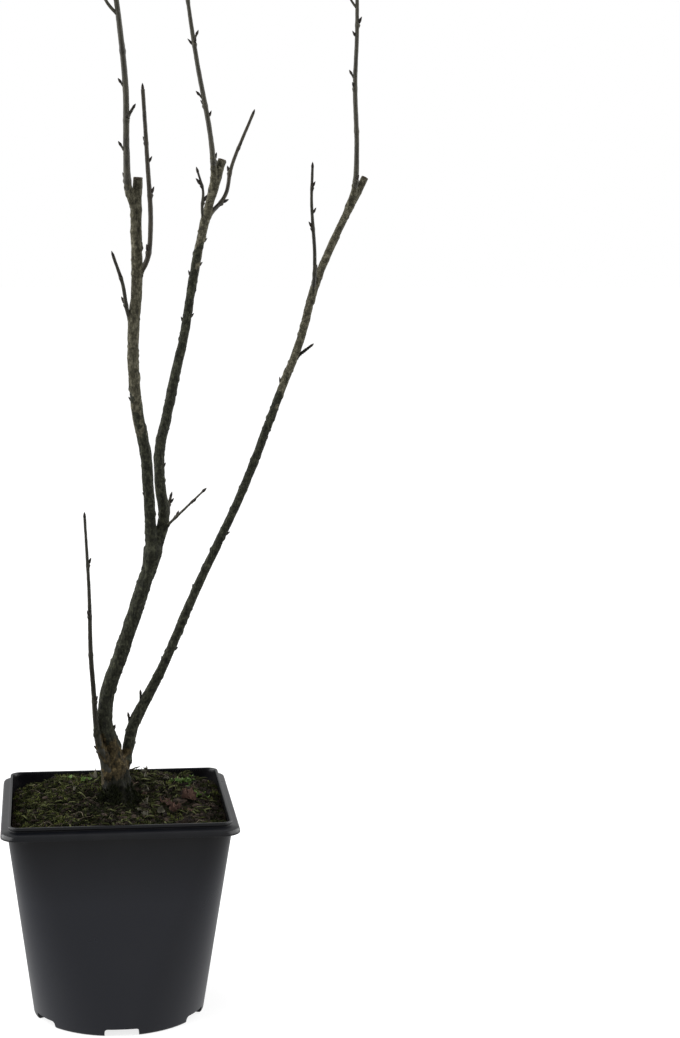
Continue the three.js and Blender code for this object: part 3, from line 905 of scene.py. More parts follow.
MASSES = {
    "shoot_left": {
        "path": [(-7.5, -5, 180), (-10.5, -7.4, 195), (-13.5, -9, 204.2), (-15.7, -11, 219),
                 (-17.5, -18, 247), (-19.5, -32, 276), (-20.5, -44, 322), (-23.4, -55.5, 379)],
        "girth": [(0, 3.8), (0.08, 3.4), (0.13, 2.8), (0.2, 2), (0.3, 1.8), (1, 1)],
        "buds": 38, "grown_in": 44,
    },
    "leader_left": {
        "path": [(14.4, -37, 594), (9.4, -41, 607), (7.8, -45, 635), (7.3, -50, 677), (2.6, -55.5, 724),
                 (-4, -60, 772), (-8, -64, 820)],
        "base": 2.8, "tip": 1.4, "buds": 42, "twigs": [(0.58, LEFT, 46)], "grown_in": 24,
    },
    "twig_left_inner": {
        "path": [(14.8, -34, 546), (22, -40, 559), (24.4, -43, 583), (22, -46.5, 630), (19.2, -48, 676)],
        "base": 2, "tip": 1.4, "buds": 40,
    },
    "twig_left_low": {
        "path": [(12.6, -30, 509), (8, -34, 523), (5, -38, 541), (-1.6, -42, 561)],
        "base": 1.7, "tip": 1.1, "buds": 24,
    },
    "leader_middle": {
        "path": [(73.8, 29, 608), (73.4, 27, 625), (70.6, 25, 650), (61.4, 22, 698), (54.6, 20, 742),
                 (48, 17, 796)],
        "base": 2.3, "tip": 1.2, "buds": 40, "twigs": [(0.74, RIGHT, 34)], "grown_in": 24,
    },
    "twig_middle_outer": {
        "path": [(67.4, 27, 584.5), (73.6, 32, 592.5), (79.6, 36, 598.5), (84, 39.5, 606), (88, 45, 624),
                 (105, 59, 663)],
        "base": 1.8, "tip": 1.1, "buds": 26,
    },
    "twig_middle_inner": {
        "path": [(66.3, 26, 581), (64.6, 19, 594), (65, 15, 607), (61, 10.6, 620)],
        "base": 1.3, "tip": 0.8, "buds": 18,
    },
    "twig_fork": {
        "path": [(32, -11.5, 361), (36, -15, 366), (50, -28, 382), (61, -38, 394.5)],
        "base": 1.2, "tip": 0.7, "buds": 24,
    },
    "spur_fork": {
        "path": [(34, -10.5, 366.5), (38, -6, 374), (38.4, -2.5, 380), (40, 0, 385.5)],
        "base": 1.4, "tip": 1, "buds": 30,
    },
    "twig_right_inner": {
        "path": [(149, 50.6, 527), (150, 46, 543), (149.6, 41, 562), (146.4, 34.5, 598), (146.4, 30, 624)],
        "base": 1.7, "tip": 1, "buds": 30,
    },
    "leader_right": {
        "path": [(177.5, 60, 595), (181.6, 58, 610), (182.4, 55, 640), (180.4, 52, 684), (181.2, 50, 724),
                 (180, 46, 796)],
        "base": 2.3, "tip": 1.2, "buds": 40, "twigs": [(0.72, LEFT, 34)], "grown_in": 20,
    },
}

# Each limb's buds and short spurs: height, the side that it leans to, and length
SPURS = {
    "trunk": [(209, RIGHT, 8), (256, RIGHT, 5), (338, RIGHT, 6)],
    "limb_left": [(388, LEFT, 4), (456, LEFT, 5)],
    "limb_right": [(406, RIGHT, 5), (510, LEFT, 5), (515, RIGHT, 5), (543, LEFT, 5), (551, RIGHT, 5),
                   (568, RIGHT, 5)],
    "stem_right": [(199, RIGHT, 5), (213, LEFT, 9), (230, LEFT, 9), (259, LEFT, 4), (268, RIGHT, 5),
                   (312, LEFT, 4), (338, LEFT, 4), (352, RIGHT, 5), (462, LEFT, 6), (484, RIGHT, 16)],
    "leader_left": [(634, LEFT, 8), (657, RIGHT, 10), (676, LEFT, 7)],
    "leader_middle": [(659, RIGHT, 5), (673, LEFT, 7), (709, LEFT, 6), (714, RIGHT, 7)],
    "twig_left_inner": [(625, RIGHT, 5)],
    "twig_right_inner": [(590, RIGHT, 5)],
    "leader_right": [(690, LEFT, 7), (720, LEFT, 5)],
}


def stems():
    """Each mass's main stem: its path and girth, where its buds are, and their seed."""
    made = {}
    for index, (name, mass) in enumerate(MASSES.items()):
        length = len(Axis(mass["path"], 4).share) * 4
        girth = mass.get("girth")
        if girth is None:
            base, tip = mass["base"], mass["tip"]
            girth = [(0, base), (0.25, base + (tip - base) * 0.45), (1, tip)]
        made[name] = {
            "path": mass["path"],
            "girth": girth,
            "buds_from": FIRST_BUD / length,
            "bud_every": mass["buds"] / length,
            "seed": 11 + 7 * index,
        }
    return made


def side_twig(stem, share, sideways, length):
    axis = Axis(stem["path"], 2)
    index = round(share * (len(axis.share) - 1))
    out = axis.side[index] * sideways
    path = [
        axis.at[index] + (axis.along[index] * forward + out * outward) * length
        for forward, outward in SIDE_TWIG_BEND
    ]
    radius = SIDE_TWIG_GIRTH * float(girth_at(stem["girth"], share))
    return {
        "path": path,
        "girth": [(0, radius), (1, SIDE_TWIG_TAPER * radius)],
        "buds_from": 0.35,
        "bud_every": SIDE_TWIG_BUD_SPACING / length,
        "seed": round(1000 * share),
    }


def bud_places(twig):
    """Where a twig's buds sit, climbing in a spiral: root, direction, size, run and turn of each."""
    random = source_random(twig["seed"])
    axis = Axis(twig["path"], 1)
    places = []
    turn = random() * WHOLE_TURN
    share = twig["buds_from"]
    while share < LAST_BUD:
        index = round(share * (len(axis.share) - 1))
        out = axis.out(index, turn)
        direction = axis.along[index] + out * BUD_LEAN
        radius = float(girth_at(twig["girth"], axis.share[index]))
        size = 0.8 + 0.4 * random()
        root = axis.at[index] + out * 0.5 * radius
        places.append((root, direction, size * BUD_LENGTH, size * BUD_RADIUS, axis.run[index], turn))
        turn += GOLDEN_TURN
        share += twig["bud_every"] * (0.8 + 0.4 * random())
    places.append((axis.at[-1] - axis.along[-1], axis.along[-1], BUD_LENGTH, BUD_RADIUS, axis.length, turn))
    return places


def twig_skin(twig, sunk):
    """A twig's tube: a collar where it leaves its parent, a shelf under each bud, and fine ridges."""
    axis = Axis(twig["path"], TWIG_STEP)
    turn = turns(TWIG_SIDES)[None]
    run = axis.run[:, None]
    plain = girth_at(twig["girth"], axis.share)[:, None]
    radius = plain + 0 * turn
    radius += COLLAR_SWELL * plain[0] * np.exp(-np.maximum(run - sunk, 0) / COLLAR_FADE)
    for _, _, _, width, place, bud_turn in bud_places(twig)[:-1]:
        below = run - place + SHELF_BELOW
        radius += width * SHELF[0] * facing(turn, bud_turn, 2.4) * hump(below, SHELF[1])
        radius += width * SWELLING[0] * hump(below, SWELLING[1])
        ridge = facing(turn, bud_turn, 14) * smoothstep(-below, 0, 2) * np.exp(below / RIDGE_LENGTH)
        radius += RIDGE_HEIGHT * np.where(below < 0, ridge, 0)
    radius += RUFFLE * layered(ring_at(1, turn, run / 3) * 1.3, 2, twig["seed"])
    return closed_skin(axis.rings(radius))


def scaly_bud():
    """A pointed bud one unit long and one unit in half width, wrapped in overlapping scales."""
    share = np.linspace(0, 1, 24)[:, None]
    turn = turns(20)[None]
    swell = 0.52 + 0.48 * smoothstep(share, 0, BUD_WIDEST)
    above = np.maximum(share - BUD_WIDEST, 0) / 0.64
    taper = np.clip(1 - above ** 1.9, 0, 1) ** 0.85
    radius = 0.74 * swell * np.maximum(taper, 0.03) + 0 * turn
    for i in range(BUD_SCALES):
        top = 0.26 + 0.088 * i
        away = np.abs((turn - i * GOLDEN_TURN + math.pi) % WHOLE_TURN - math.pi)
        width = 1.55 * np.sqrt(np.clip(1 - (share / top) ** 2.6, 0, 1))
        radius += 0.05 * smoothstep(width - away, -0.05, 0.25) * np.maximum(taper, 0.1)
    return closed_skin(ring_at(radius, turn, share))


def placed(template, root, direction, length, radius, roll):
    """The template moved so that its axis runs from root along direction."""
    points, triangles = template
    direction = np.asarray(direction, float) / np.linalg.norm(direction)
    side = np.cross(direction, (0, 0, 1) if abs(direction[2]) < 0.9 else (1, 0, 0))
    side /= np.linalg.norm(side)
    turned = side * math.cos(roll) + np.cross(direction, side) * math.sin(roll)
    rows = np.stack([turned * radius, np.cross(direction, turned) * radius, direction * length])
    return root + points @ rows, triangles


def spur_peg(seed):
    """A short woody spur one unit long, ringed with the scars of old bud scales."""
    share = np.linspace(0, 1, 26)[:, None]
    turn = turns(12)[None]
    scars = np.sin(share * PEG_SCARS) * smoothstep(share, 0.05, 0.3)
    radius = 0.9 - 0.25 * share + 0.13 * scars + 0 * turn
    radius += 0.7 * np.exp(-share / 0.09)
    radius += 0.1 * noise(ring_at(1, turn, share * 3) * 2, seed)
    return closed_skin(ring_at(radius, turn, share))


def spurs_of(name, limb, buds, pegs, bud):
    """Adds a bud for each of a limb's spurs, and a woody peg under it where the spur is long."""
    axis = Axis(limb["path"], 2)
    for number, (height, sideways, length) in enumerate(SPURS.get(name, [])):
        index = int(np.argmax(axis.at[:, 2] >= height))
        out = axis.side[index] * sideways
        girth = float(girth_at(limb["girth"], axis.share[index]))
        direction = axis.along[index] * SPUR_RISE + out
        direction /= np.linalg.norm(direction)
        radius = float(np.clip(SPUR_GIRTH_SHARE * length, *SPUR_RADII))
        root = axis.at[index] + out * 0.6 * girth
        if length < WOODY_SPUR:
            buds.append(placed(bud, root, direction, length, radius, number))
            continue
        bud_length = PEG_BUD_SHARE * BUD_LENGTH
        stalk = length - bud_length
        foot = root - direction
        pegs.append(placed(spur_peg(number), foot, direction, stalk + 1.4, 0.9 * radius, number))
        end = root + direction * stalk
        buds.append(placed(bud, end, direction, bud_length, 0.95 * BUD_RADIUS, number))


def masses_and_buds(young, bud_skin, old):
    """One piece for each mass's twigs, with all the buds and all the old wood's spurs joined."""
    buds, pegs = [], []
    bud = scaly_bud()
    for name, limb in LIMBS.items():
        spurs_of(name, limb, buds, pegs, bud)
    piece("wood_spurs", pegs, old)
    for index, (name, stem) in enumerate(stems().items()):
        twigs = [stem] + [side_twig(stem, *twig) for twig in MASSES[name].get("twigs", [])]
        parts = []
        for number, twig in enumerate(twigs):
            parts.append(twig_skin(twig, 2.0 if number else 4.0))
            for roll, (root, direction, length, radius, _, _) in enumerate(bud_places(twig)):
                buds.append(placed(bud, root, direction, length, radius, roll))
        spurs_of(name, stem, buds, parts, bud)
        made = piece(name + "_twigs", parts, young[index % len(young)])
        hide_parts(name)
    piece("buds", buds, bud_skin)


CUT_SIDES = 36
CRACK_DEPTH = 0.3
# The domed end of a pruned limb: share of its radius, and rise
CUT_DOME = [(0.98, -1.2), (1.0, 0.15), (0.93, 0.5), (0.7, 0.42), (0.45, 0.46), (0.2, 0.5), (0.06, 0.5)]


def cut_faces(material):
    """Slightly domed, cracked end grain where the limbs were pruned."""
    parts = []
    turn = turns(CUT_SIDES)
    for name in ("limb_left", "limb_right", "stem_right"):
        axis = Axis(LIMBS[name]["path"], WOOD_STEP)
        radius = LIMBS[name]["girth"][-1][1]
        rings = []
        for share, rise in CUT_DOME:
            crack = CRACK_DEPTH * np.maximum(0, np.cos(3 * turn + 1)) ** 8 * (share < 0.9)
            up = axis.along[-1] * (rise - crack)[:, None]
            rings.append(axis.at[-1] + axis.out(-1, turn) * share * radius + up)
        parts.append(closed_skin(rings))
    piece("cut_faces", parts, material)


# The soil

SOIL_LEVEL = 156.6
MOUND = 3.0
MOUND_RADIUS = 48.0
EDGE_DROP = 2.4
RIPPLE = 0.8
SEAT_RADIUS = 20.0
SEAT_LEVEL = SOIL_SEAT - 0.3
SIDE_GAP = 0.4
SOIL_TOP_RING = 148.0
SOIL_SIDES = 360
SOIL_RINGS = 96
# Heaps and hollows of the soil: x, y, rise and radius
HEAPS = [(-72, 70, -6, 18), (70, 72, -3, 16), (4, 72, 6, 55)]


def soil_height(x, y, share):
    """The soil's smooth height, by the same rule as its solid. The share is 1 at the pot's wall."""
    from_crown = np.hypot(x, y)
    free = SOIL_LEVEL + MOUND * hump(from_crown, MOUND_RADIUS)
    for heap_x, heap_y, rise, radius in HEAPS:
        free += rise * hump(np.hypot(x - heap_x, y - heap_y), radius)
    free -= EDGE_DROP * share ** 8
    free += RIPPLE * np.sin(0.13 * x + 0.6) * np.cos(0.11 * y)
    free += 0.6 * RIPPLE * np.sin(0.27 * y - 0.19 * x)
    return SEAT_LEVEL + (free - SEAT_LEVEL) * smoothstep(from_crown, SEAT_RADIUS, 2 * SEAT_RADIUS)


def soil_relief(x, y):
    """Crumbs and hollows of the potting soil, in mm."""
    return 0.9 * layered(level(x, y) / 11, 2, 3) + layered(level(x, y) / 4.2, 3, 9)


def edge_reach(angle):
    return wall_reach(SOIL_TOP_RING, angle, WALL + SIDE_GAP)


def edge_share(x, y):
    """How far out a place is, from 0 on the axis to 1 at the pot's wall."""
    return np.hypot(x, y) / edge_reach(np.arctan2(y, x))


def ground(x, y):
    """Height of the finished soil at each place."""
    return soil_height(x, y, edge_share(x, y)) + soil_relief(x, y)


def soil_bed(material):
    angle = turns(SOIL_SIDES)
    inset = WALL + SIDE_GAP
    rings = [ring_at(wall_reach(FLOOR, angle, inset + 4.2), angle, FLOOR + 0.3)]
    rings += [wall_ring(z, angle, inset) for z in np.linspace(FLOOR + 4.3, SOIL_TOP_RING, 8)]
    for share in np.linspace(0.998, 0.02, SOIL_RINGS):
        reach = edge_reach(angle) * share
        rings.append(ring_at(reach, angle, ground(reach * np.cos(angle), reach * np.sin(angle))))
    made = piece("soil_bed", closed_skin(rings), material)
    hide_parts("soil")


# Moss and litter

SCATTER_HALF = 80
CROWN_X = -1
MOSS_EDGE = 0.965
STALK_EDGE = 0.95
STALK_CLEARANCE = 12
CLUMP_SPACING = 4.3
CLUMP_SHOOTS = 14
CLUMP_RADIUS = (1.3, 2.6)
CLUMP_HEIGHT = (1.9, 3.8)
CROWN_CLUMPS = 90
CROWN_RING = (9.2, 15.5)
CROWN_CLEARANCE = 11.5
CLIMB_FROM = 13.5
CLIMB_STEEPNESS = 3.0
MOSS_TONES = (0.4, 0.76)
CROWN_SHADE = 0.8
CROWN_SHADE_RADIUS = 24
SHOOT_ROOT = 0.7
SHOOT_HEIGHTS = (0.75, 1.15)
SHOOT_WIDTHS = (0.42, 0.72)
FROND_LENGTHS = (4, 8.5)
FROND_LIFTS = (0.2, 1.6)
FROND_HEIGHTS = (0.6, 1.1)
CRUMB_WIDTHS = (0.45, 0.9)
STALK_POINTS = 9
STALK_CURL = 0.09
STALK_WANDER = 0.12


def any_turns(draw, count):
    return draw.uniform(0, WHOLE_TURN, count)


def soil_places(count, seed, edge, cover=None):
    """Random places on the soil, clear of the crown, kept where a cover of 0 to 1 says so."""
    draw = np.random.default_rng(seed)
    x, y = draw.uniform(-SCATTER_HALF, SCATTER_HALF, (2, count))
    keep = (edge_share(x, y) < edge) & (np.hypot(x - CROWN_X, y) > CROWN_CLEARANCE)
    if cover is not None:
        keep &= draw.random(count) < cover(x, y)
    return x[keep], y[keep], draw


def leaning(lean, turn, spin):
    """Rotation matrices whose third row leans from straight up towards a turn."""
    up = np.stack([np.sin(lean) * np.cos(turn), np.sin(lean) * np.sin(turn), np.cos(lean)], 1)
    side = level(np.cos(spin), np.sin(spin))
    side -= up * (side * up).sum(1)[:, None]
    side /= np.linalg.norm(side, axis=1)[:, None]
    return np.stack([side, np.cross(up, side), up], 1)


def on_ground(x, y, lift):
    return np.column_stack([x, y, ground(x, y) + lift])


def tilted(draw, count, lean):
    """Random rotations that lean up to `lean` from straight up."""
    turn = any_turns(draw, count)
    spin = any_turns(draw, count)
    return leaning(lean * np.sqrt(draw.random(count)), turn, spin)


def copies(template, places, rotations, sizes):
    """Joined copies of a small mesh, each turned, sized and placed by its own values."""
    points, triangles = template
    moved = np.einsum("npi,nij->npj", points[None] * sizes[:, None], rotations) + places[:, None]
    steps = np.arange(len(places))[:, None, None] * len(points)
    return moved.reshape(-1, 3), (triangles[None] + steps).reshape(-1, 3)


def strewn(name, material, template, *where):
    """A piece of many small copies on the soil, at places with their rotations and sizes."""
    piece(name, copies(template, *where), material, False)


def moss_shoot():
    """One moss shoot: a slim spire with a twisted star section, one unit tall."""
    star = np.where(np.arange(4) % 2, 0.42, 1.0)
    levels = ((0, 0.5), (0.45, 1.0), (0.85, 0.45))
    return closed_skin([ring_at(star * width, turns(4) + 1.4 * share, share) for share, width in levels])


def moss_frond():
    """One creeping moss stem, one unit long, arched up and over, with a leafy star section."""
    path = [(0, 0, 0), (0.2, 0.04, 0.1), (0.48, -0.03, 0.13), (0.76, -0.1, 0.1), (1, -0.04, 0.02)]
    axis = Axis(path, 0.16)
    star = np.where(np.arange(8) % 2, 0.45, 1.0)
    width = 0.085 * np.sin(math.pi * np.clip(axis.share * 0.9 + 0.08, 0, 1)) ** 0.6
    return closed_skin(axis.rings(width[:, None] * star[None]))


def moss_cover(x, y):
    """Where moss grows: thick on the left and at the back, thin by the crown and at the right."""
    rich = 0.86 - 0.0045 * x + 0.001 * y + 0.34 * layered(level(x, y) / 19, 2, 41)
    return np.clip(rich, 0.12, 1)


def clump_middles(draw):
    """Moss clumps on a shaken triangular grid, and a ring of them that hides the crown's foot."""
    columns = np.arange(-SCATTER_HALF, SCATTER_HALF, CLUMP_SPACING)
    rows = np.arange(-SCATTER_HALF, SCATTER_HALF, CLUMP_SPACING * 0.87)
    x, y = np.meshgrid(columns, rows)
    x = x + (np.arange(len(rows)) % 2 * 0.5 * CLUMP_SPACING)[:, None]
    x, y = (a.ravel() + draw.normal(0, 0.24 * CLUMP_SPACING, a.size) for a in (x, y))
    keep = (edge_share(x, y) < MOSS_EDGE) & (draw.random(x.size) < moss_cover(x, y))
    keep &= np.hypot(x, y) > CROWN_CLEARANCE
    turn = any_turns(draw, CROWN_CLUMPS)
    away = draw.uniform(*CROWN_RING, CROWN_CLUMPS)
    return np.append(x[keep], away * np.cos(turn)), np.append(y[keep], away * np.sin(turn))


def moss(materials):
    """Moss in small domed clumps of shoots with dark gaps between."""
    draw = np.random.default_rng(60)
    x, y = clump_middles(draw)
    brightness = draw.random(len(x)) + 0.25 * noise(level(x, y) / 13, 53) - 0.0012 * x
    brightness += 0.002 * y - CROWN_SHADE * hump(np.hypot(x, y + 6), CROWN_SHADE_RADIUS)
    tone = np.digitize(brightness, MOSS_TONES)
    for number, material in enumerate(materials):
        chosen = tone == number
        clumps = chosen.sum()
        middle_x, middle_y = (np.repeat(a[chosen], CLUMP_SHOOTS) for a in (x, y))
        count = len(middle_x)
        radius = np.repeat(draw.uniform(*CLUMP_RADIUS, clumps), CLUMP_SHOOTS)
        climb = 1 + 0.9 * hump(np.hypot(x, y)[chosen] - 12, 4)
        height = np.repeat(climb * draw.uniform(*CLUMP_HEIGHT, clumps), CLUMP_SHOOTS)
        out = np.sqrt(draw.random(count))
        turn = any_turns(draw, count)
        at_x = middle_x + radius * out * np.cos(turn)
        at_y = middle_y + radius * out * np.sin(turn)
        tall = height * (1 - 0.5 * out ** 2) * draw.uniform(*SHOOT_HEIGHTS, count) + SHOOT_ROOT
        wide = draw.uniform(*SHOOT_WIDTHS, count)
        lean = 0.1 + 0.85 * out + draw.normal(0, 0.12, count)
        rise = CLIMB_STEEPNESS * np.clip(CLIMB_FROM - np.hypot(at_x, at_y), 0, 5)
        places = on_ground(at_x, at_y, rise - SHOOT_ROOT)
        rotations = leaning(lean, turn, any_turns(draw, count))
        sizes = np.column_stack([wide, wide, tall])
        strewn(f"moss_{number + 1}", material, moss_shoot(), places, rotations, sizes)


def litter_cover(x, y):
    """Where bark chips lie: many at the right, few among the moss on the left."""
    return np.clip(0.45 + 0.008 * x, 0.12, 1)


def fronds(name, material, count, seed):
    """Creeping moss stems that arch over the clumps."""
    x, y, draw = soil_places(count, seed, 0.9, moss_cover)
    count = len(x)
    length = draw.uniform(*FROND_LENGTHS, count)
    places = on_ground(x, y, draw.uniform(*FROND_LIFTS, count))
    sizes = np.column_stack([length, length, length * draw.uniform(*FROND_HEIGHTS, count)])
    strewn(name, material, moss_frond(), places, tilted(draw, count, 0.35), sizes)


def pebble(seed):
    """A rough lump of unit half width."""
    share = np.linspace(0.06, 0.94, 5)[:, None] * math.pi
    rings = ring_at(np.sin(share), turns(8)[None], -np.cos(share))
    return closed_skin(rings * (1 + 0.22 * noise(rings * 1.7 + 9, seed)[..., None]))


def crumbs(name, material, count, seed, low, high, flatness, edge=0.97, cover=None):
    """Crumbs or bark chips lying on the soil."""
    x, y, draw = soil_places(count, seed, edge, cover)
    count = len(x)
    size = low + (high - low) * draw.random(count) ** 2.2
    sizes = np.column_stack([size, size * draw.uniform(*CRUMB_WIDTHS, count), size * flatness])
    places = on_ground(x, y, 0.35 * sizes[:, 2])
    strewn(name, material, pebble(seed), places, tilted(draw, count, 0.6), sizes)


def fibres(name, material, count, seed, length, thickness, lift=2.5):
    """Thin dry stalks and root hairs lying over the moss."""
    x, y, draw = soil_places(count, seed, 0.9)
    parts = []
    for px, py in zip(x, y):
        reach = length * draw.uniform(0.4, 1)
        heading = draw.uniform(0, WHOLE_TURN)
        curl = draw.normal(0, STALK_CURL)
        wander = np.cumsum(draw.normal(0, STALK_WANDER, STALK_POINTS))
        angles = heading + curl * np.arange(STALK_POINTS) + wander
        step = reach / STALK_POINTS
        path_x = px + np.cumsum(np.cos(angles)) * step - math.cos(heading) * reach / 2
        path_y = py + np.cumsum(np.sin(angles)) * step - math.sin(heading) * reach / 2
        if edge_share(path_x, path_y).max() >= STALK_EDGE:
            continue
        if np.hypot(path_x, path_y).min() <= STALK_CLEARANCE:
            continue
        arch = np.sin(np.linspace(0.15, 2.8, STALK_POINTS)) * lift * draw.uniform(0.4, 1.2)
        axis = Axis(on_ground(path_x, path_y, 0.4 + arch), reach / 12)
        taper = thickness * draw.uniform(0.7, 1.3) * (1 - 0.5 * axis.share)
        parts.append(closed_skin(axis.rings(np.tile(taper[:, None], 6))))
    piece(name, parts, material)


def leaf_blade(curl, fold, lobes, seed):
    """A thin closed blade of unit length: lobed outline, curled along and folded across."""
    share = np.linspace(0.02, 0.98, 15)[:, None]
    across = np.linspace(-1, 1, 11)[None]
    width = 0.5 * np.sin(math.pi * share ** 0.8) ** 0.7 * (1 + 0.16 * np.cos(lobes * math.pi * share))
    x = share - 0.5 + 0 * across
    y = width * across
    z = curl * (x ** 2) * 2 + fold * y ** 2 * 3 + 0.05 * noise(level(x, y) * 3 + seed, seed)
    z -= 0.03 * hump(across, 0.12)
    top = np.stack([x, y, z], -1)
    thick = (0, 0, 0.014)
    return closed_skin(np.concatenate([top + thick, (top - thick)[:, ::-1]], 1))


def leaves(name, material, places, seed, low, high, curl, fold, lobes, lean, lift):
    """Small leaves lying or standing on the soil at chosen places."""
    draw = np.random.default_rng(seed)
    parts = []
    for number, at in enumerate(on_ground(*places.T, lift)):
        size = draw.uniform(low, high)
        bent, folded = curl * draw.uniform(0.3, 1.2), fold * draw.uniform(0.3, 1.2)
        blade = leaf_blade(bent, folded, lobes, seed + number)
        parts.append(copies(blade, at[None], tilted(draw, 1, lean), np.full((1, 3), size)))
    piece(name, parts, material)


def scattered(draw, *groups):
    """Random places round some middles, from (x, y, spread, count) groups."""
    return np.concatenate([
        np.column_stack([draw.normal(x, spread, count), draw.normal(y, spread, count)])
        for x, y, spread, count in groups
    ])


def litter(dead, green, pale):
    """Dead leaves at the right of the crown, and a few green seedlings among the moss."""
    draw = np.random.default_rng(5)
    fallen = scattered(draw, (44, -22, 9, 9), (56, 6, 8, 6), (20, 30, 16, 5))
    leaves("dead_leaves", dead, fallen, 71, 3.5, 8, 0.6, 1.0, 5, 0.7, 1.2)
    seedlings = scattered(draw, (52, 38, 5, 18), (63, 2, 4, 9), (-22, 52, 7, 4))
    leaves("seedlings", green, seedlings, 83, 2.4, 4.2, 0.5, 0.8, 1, 0.8, 2.6)
    scraps = scattered(draw, (20, 60, 10, 5), (30, -40, 16, 4), (-10, 40, 18, 4))
    leaves("leaf_scraps", pale, scraps, 97, 3, 6, 1.2, 1.4, 3, 1.0, 1.4)


# The studio

AMBIENT = 0.24
MIRRORED = 0.52
FLOOR_HALF = 12.0
# The panels at the sides: name, place and power
PANELS = (("left", -1.5, 66), ("right", 1.6, 52))


def studio():
    """A white floor and world, a soft light from above and a panel on each side."""
    floor = linked("floor", bpy.data.meshes.new("floor"))
    corners = [(FLOOR_HALF * x, FLOOR_HALF * y, 0) for x, y in ((-1, -1), (1, -1), (1, 1), (-1, 1))]
    floor.data.from_pydata(corners, [], [(0, 1, 2, 3)])
    floor.data.materials.append(floor_paper())
    adjusted(floor, visible_diffuse=False, visible_glossy=False)

    world = bpy.data.worlds.new("studio")
    bpy.context.scene.world = world
    bpy.context.scene.view_settings.view_transform = "Standard"
    n = Nodes(world)
    strength = AMBIENT
    for ray, brightness in (("Is Glossy Ray", MIRRORED), ("Is Camera Ray", 1.0)):
        inputs = {"Value": n.add("LightPath", ray, {}), "To Min": strength, "To Max": brightness}
        strength = n.add("MapRange", "Result", inputs)
    background = n.tree.nodes["Background"].inputs
    n.link((1, 1, 1), background["Color"])
    n.link(strength, background["Strength"])

    sun = adjusted(bpy.data.lights.new("top", "SUN"), energy=2.1, angle=math.radians(36))
    aimed(sun, (-0.45, -0.5, 2.3), (0, 0, 0)).visible_glossy = False
    for name, x, energy in PANELS:
        panel = bpy.data.lights.new(name, "AREA")
        adjusted(panel, shape="RECTANGLE", size=3.2, size_y=1.8, energy=energy)
        aimed(panel, (x, 0.1, 0.75), (0.05, 0.05, 0.4))


def aimed(light, at, target):
    """A new lamp at one place that shines towards another."""
    aim = (Vector(target) - Vector(at)).to_track_quat("-Z", "Y").to_euler()
    return adjusted(linked(light.name, light), location=at, rotation_euler=aim)


def camera():
    yaw, pitch, roll = (math.radians(a) for a in (CAMERA_YAW, CAMERA_PITCH, CAMERA_ROLL))
    forward = Vector((math.sin(yaw) * math.cos(pitch), math.cos(yaw) * math.cos(pitch), -math.sin(pitch)))
    right = Vector((math.cos(yaw), -math.sin(yaw), 0))
    up = right.cross(forward)
    across = right * math.cos(roll) + up * math.sin(roll)
    upright = up * math.cos(roll) - right * math.sin(roll)
    data = adjusted(bpy.data.cameras.new("camera"), lens=CAMERA_FOCAL, sensor_width=SENSOR)
    made = linked("camera", data)
    turn = Matrix((across, upright, -forward)).transposed().to_4x4()
    made.matrix_world = Matrix.Translation(Vector(CAMERA_AT) * MM) @ turn
    bpy.context.scene.camera = made


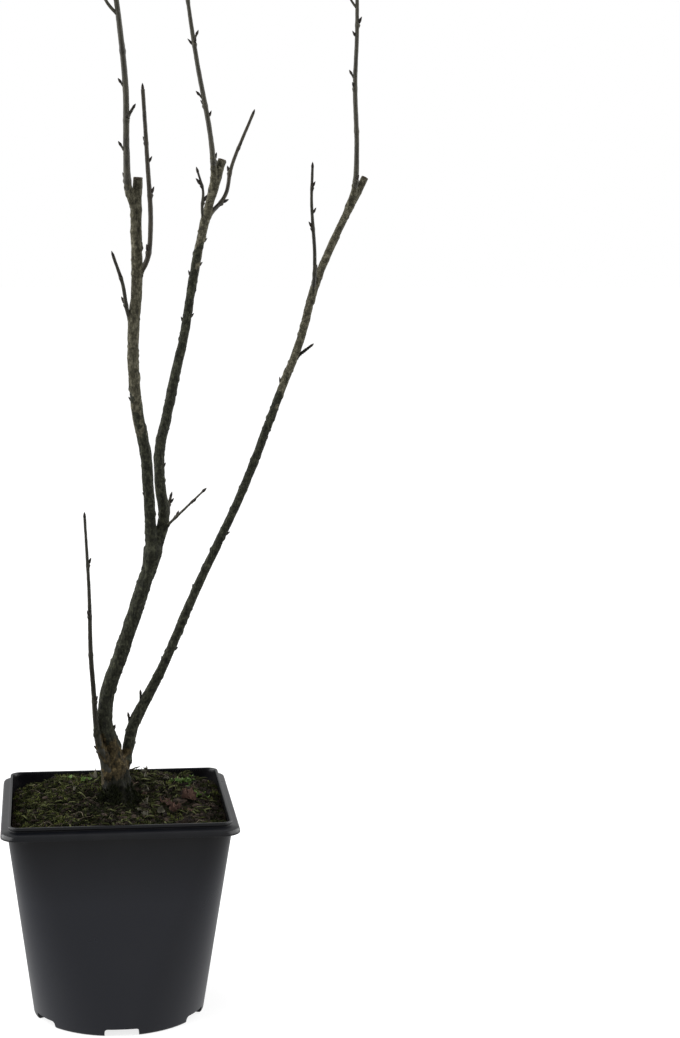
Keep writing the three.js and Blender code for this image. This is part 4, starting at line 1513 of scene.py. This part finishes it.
def main():
    camera()
    studio()
    pot_shell(pot_plastic(), stained_and_shaded_plastic())
    soil_bed(potting_soil())
    bush_wood([
        # Painted shade at the crown's foot
        bark("bark_painted_shade", (0.0015, 0.0017, 0.001), (0.006, 0.0062, 0.0034), (0.017, 0.017, 0.0085)),
        bark("bark_brown", (0.007, 0.0055, 0.0025), (0.034, 0.026, 0.012), (0.1, 0.075, 0.036)),
        bark("bark_olive", (0.0038, 0.0041, 0.0025), (0.0185, 0.0195, 0.0123), (0.054, 0.056, 0.037)),
        bark("bark_pale", (0.016, 0.014, 0.009), (0.062, 0.058, 0.038), (0.15, 0.14, 0.1)),
    ])
    young = [
        shoot_bark("young_bark_olive", (0.008, 0.0075, 0.005), (0.036, 0.034, 0.023)),
        shoot_bark("young_bark_grey", (0.015, 0.014, 0.0095), (0.068, 0.064, 0.046)),
        shoot_bark("young_bark_brown", (0.011, 0.0095, 0.006), (0.046, 0.04, 0.027)),
    ]
    buds = loose_stuff("bud_scales", (0.006, 0.005, 0.004), (0.03, 0.024, 0.019), 260, 0.6)
    old = loose_stuff("spur_bark", (0.003, 0.003, 0.0022), (0.017, 0.016, 0.012), 500, 0.85)
    masses_and_buds(young, buds, old)
    cut_faces(cut_wood())
    moss([
        loose_stuff("moss_deep", (0.002, 0.0028, 0.0006), (0.009, 0.0112, 0.0026)),
        loose_stuff("moss_olive", (0.0062, 0.0079, 0.0017), (0.0215, 0.0252, 0.0056)),
        loose_stuff("moss_pale", (0.031, 0.037, 0.0095), (0.086, 0.096, 0.0265)),
    ])
    frond_olive = loose_stuff("frond_olive", (0.012, 0.014, 0.004), (0.036, 0.04, 0.012))
    frond_pale = loose_stuff("frond_pale", (0.034, 0.038, 0.014), (0.09, 0.095, 0.04))
    fronds("moss_fronds_olive", frond_olive, 520, 61)
    fronds("moss_fronds_pale", frond_pale, 230, 67)
    peat = loose_stuff("peat", (0.003, 0.0025, 0.002), (0.018, 0.013, 0.009))
    chips = loose_stuff("bark_chips", (0.01, 0.007, 0.006), (0.05, 0.036, 0.027))
    crumbs("peat_crumbs", peat, 1500, 17, 0.7, 2.4, 0.7)
    crumbs("chips", chips, 420, 19, 1.4, 4.2, 0.32, 0.93, litter_cover)
    straw = loose_stuff("straw", (0.04, 0.033, 0.022), (0.12, 0.1, 0.07), 90, 0.7)
    roots = loose_stuff("root_hair", (0.016, 0.01, 0.006), (0.05, 0.033, 0.02), 90, 0.8)
    fibres("dry_stalks", straw, 60, 23, 18, 0.26)
    fibres("root_hairs", roots, 90, 29, 16, 0.2, 1.6)
    litter(
        loose_stuff("dead_leaf", (0.024, 0.013, 0.01), (0.075, 0.043, 0.032), 160, 0.8),
        loose_stuff("seedling_leaf", (0.032, 0.064, 0.011), (0.082, 0.13, 0.028), 200, 0.5),
        loose_stuff("leaf_scrap", (0.03, 0.028, 0.02), (0.085, 0.08, 0.06), 160, 0.85),
    )


main()
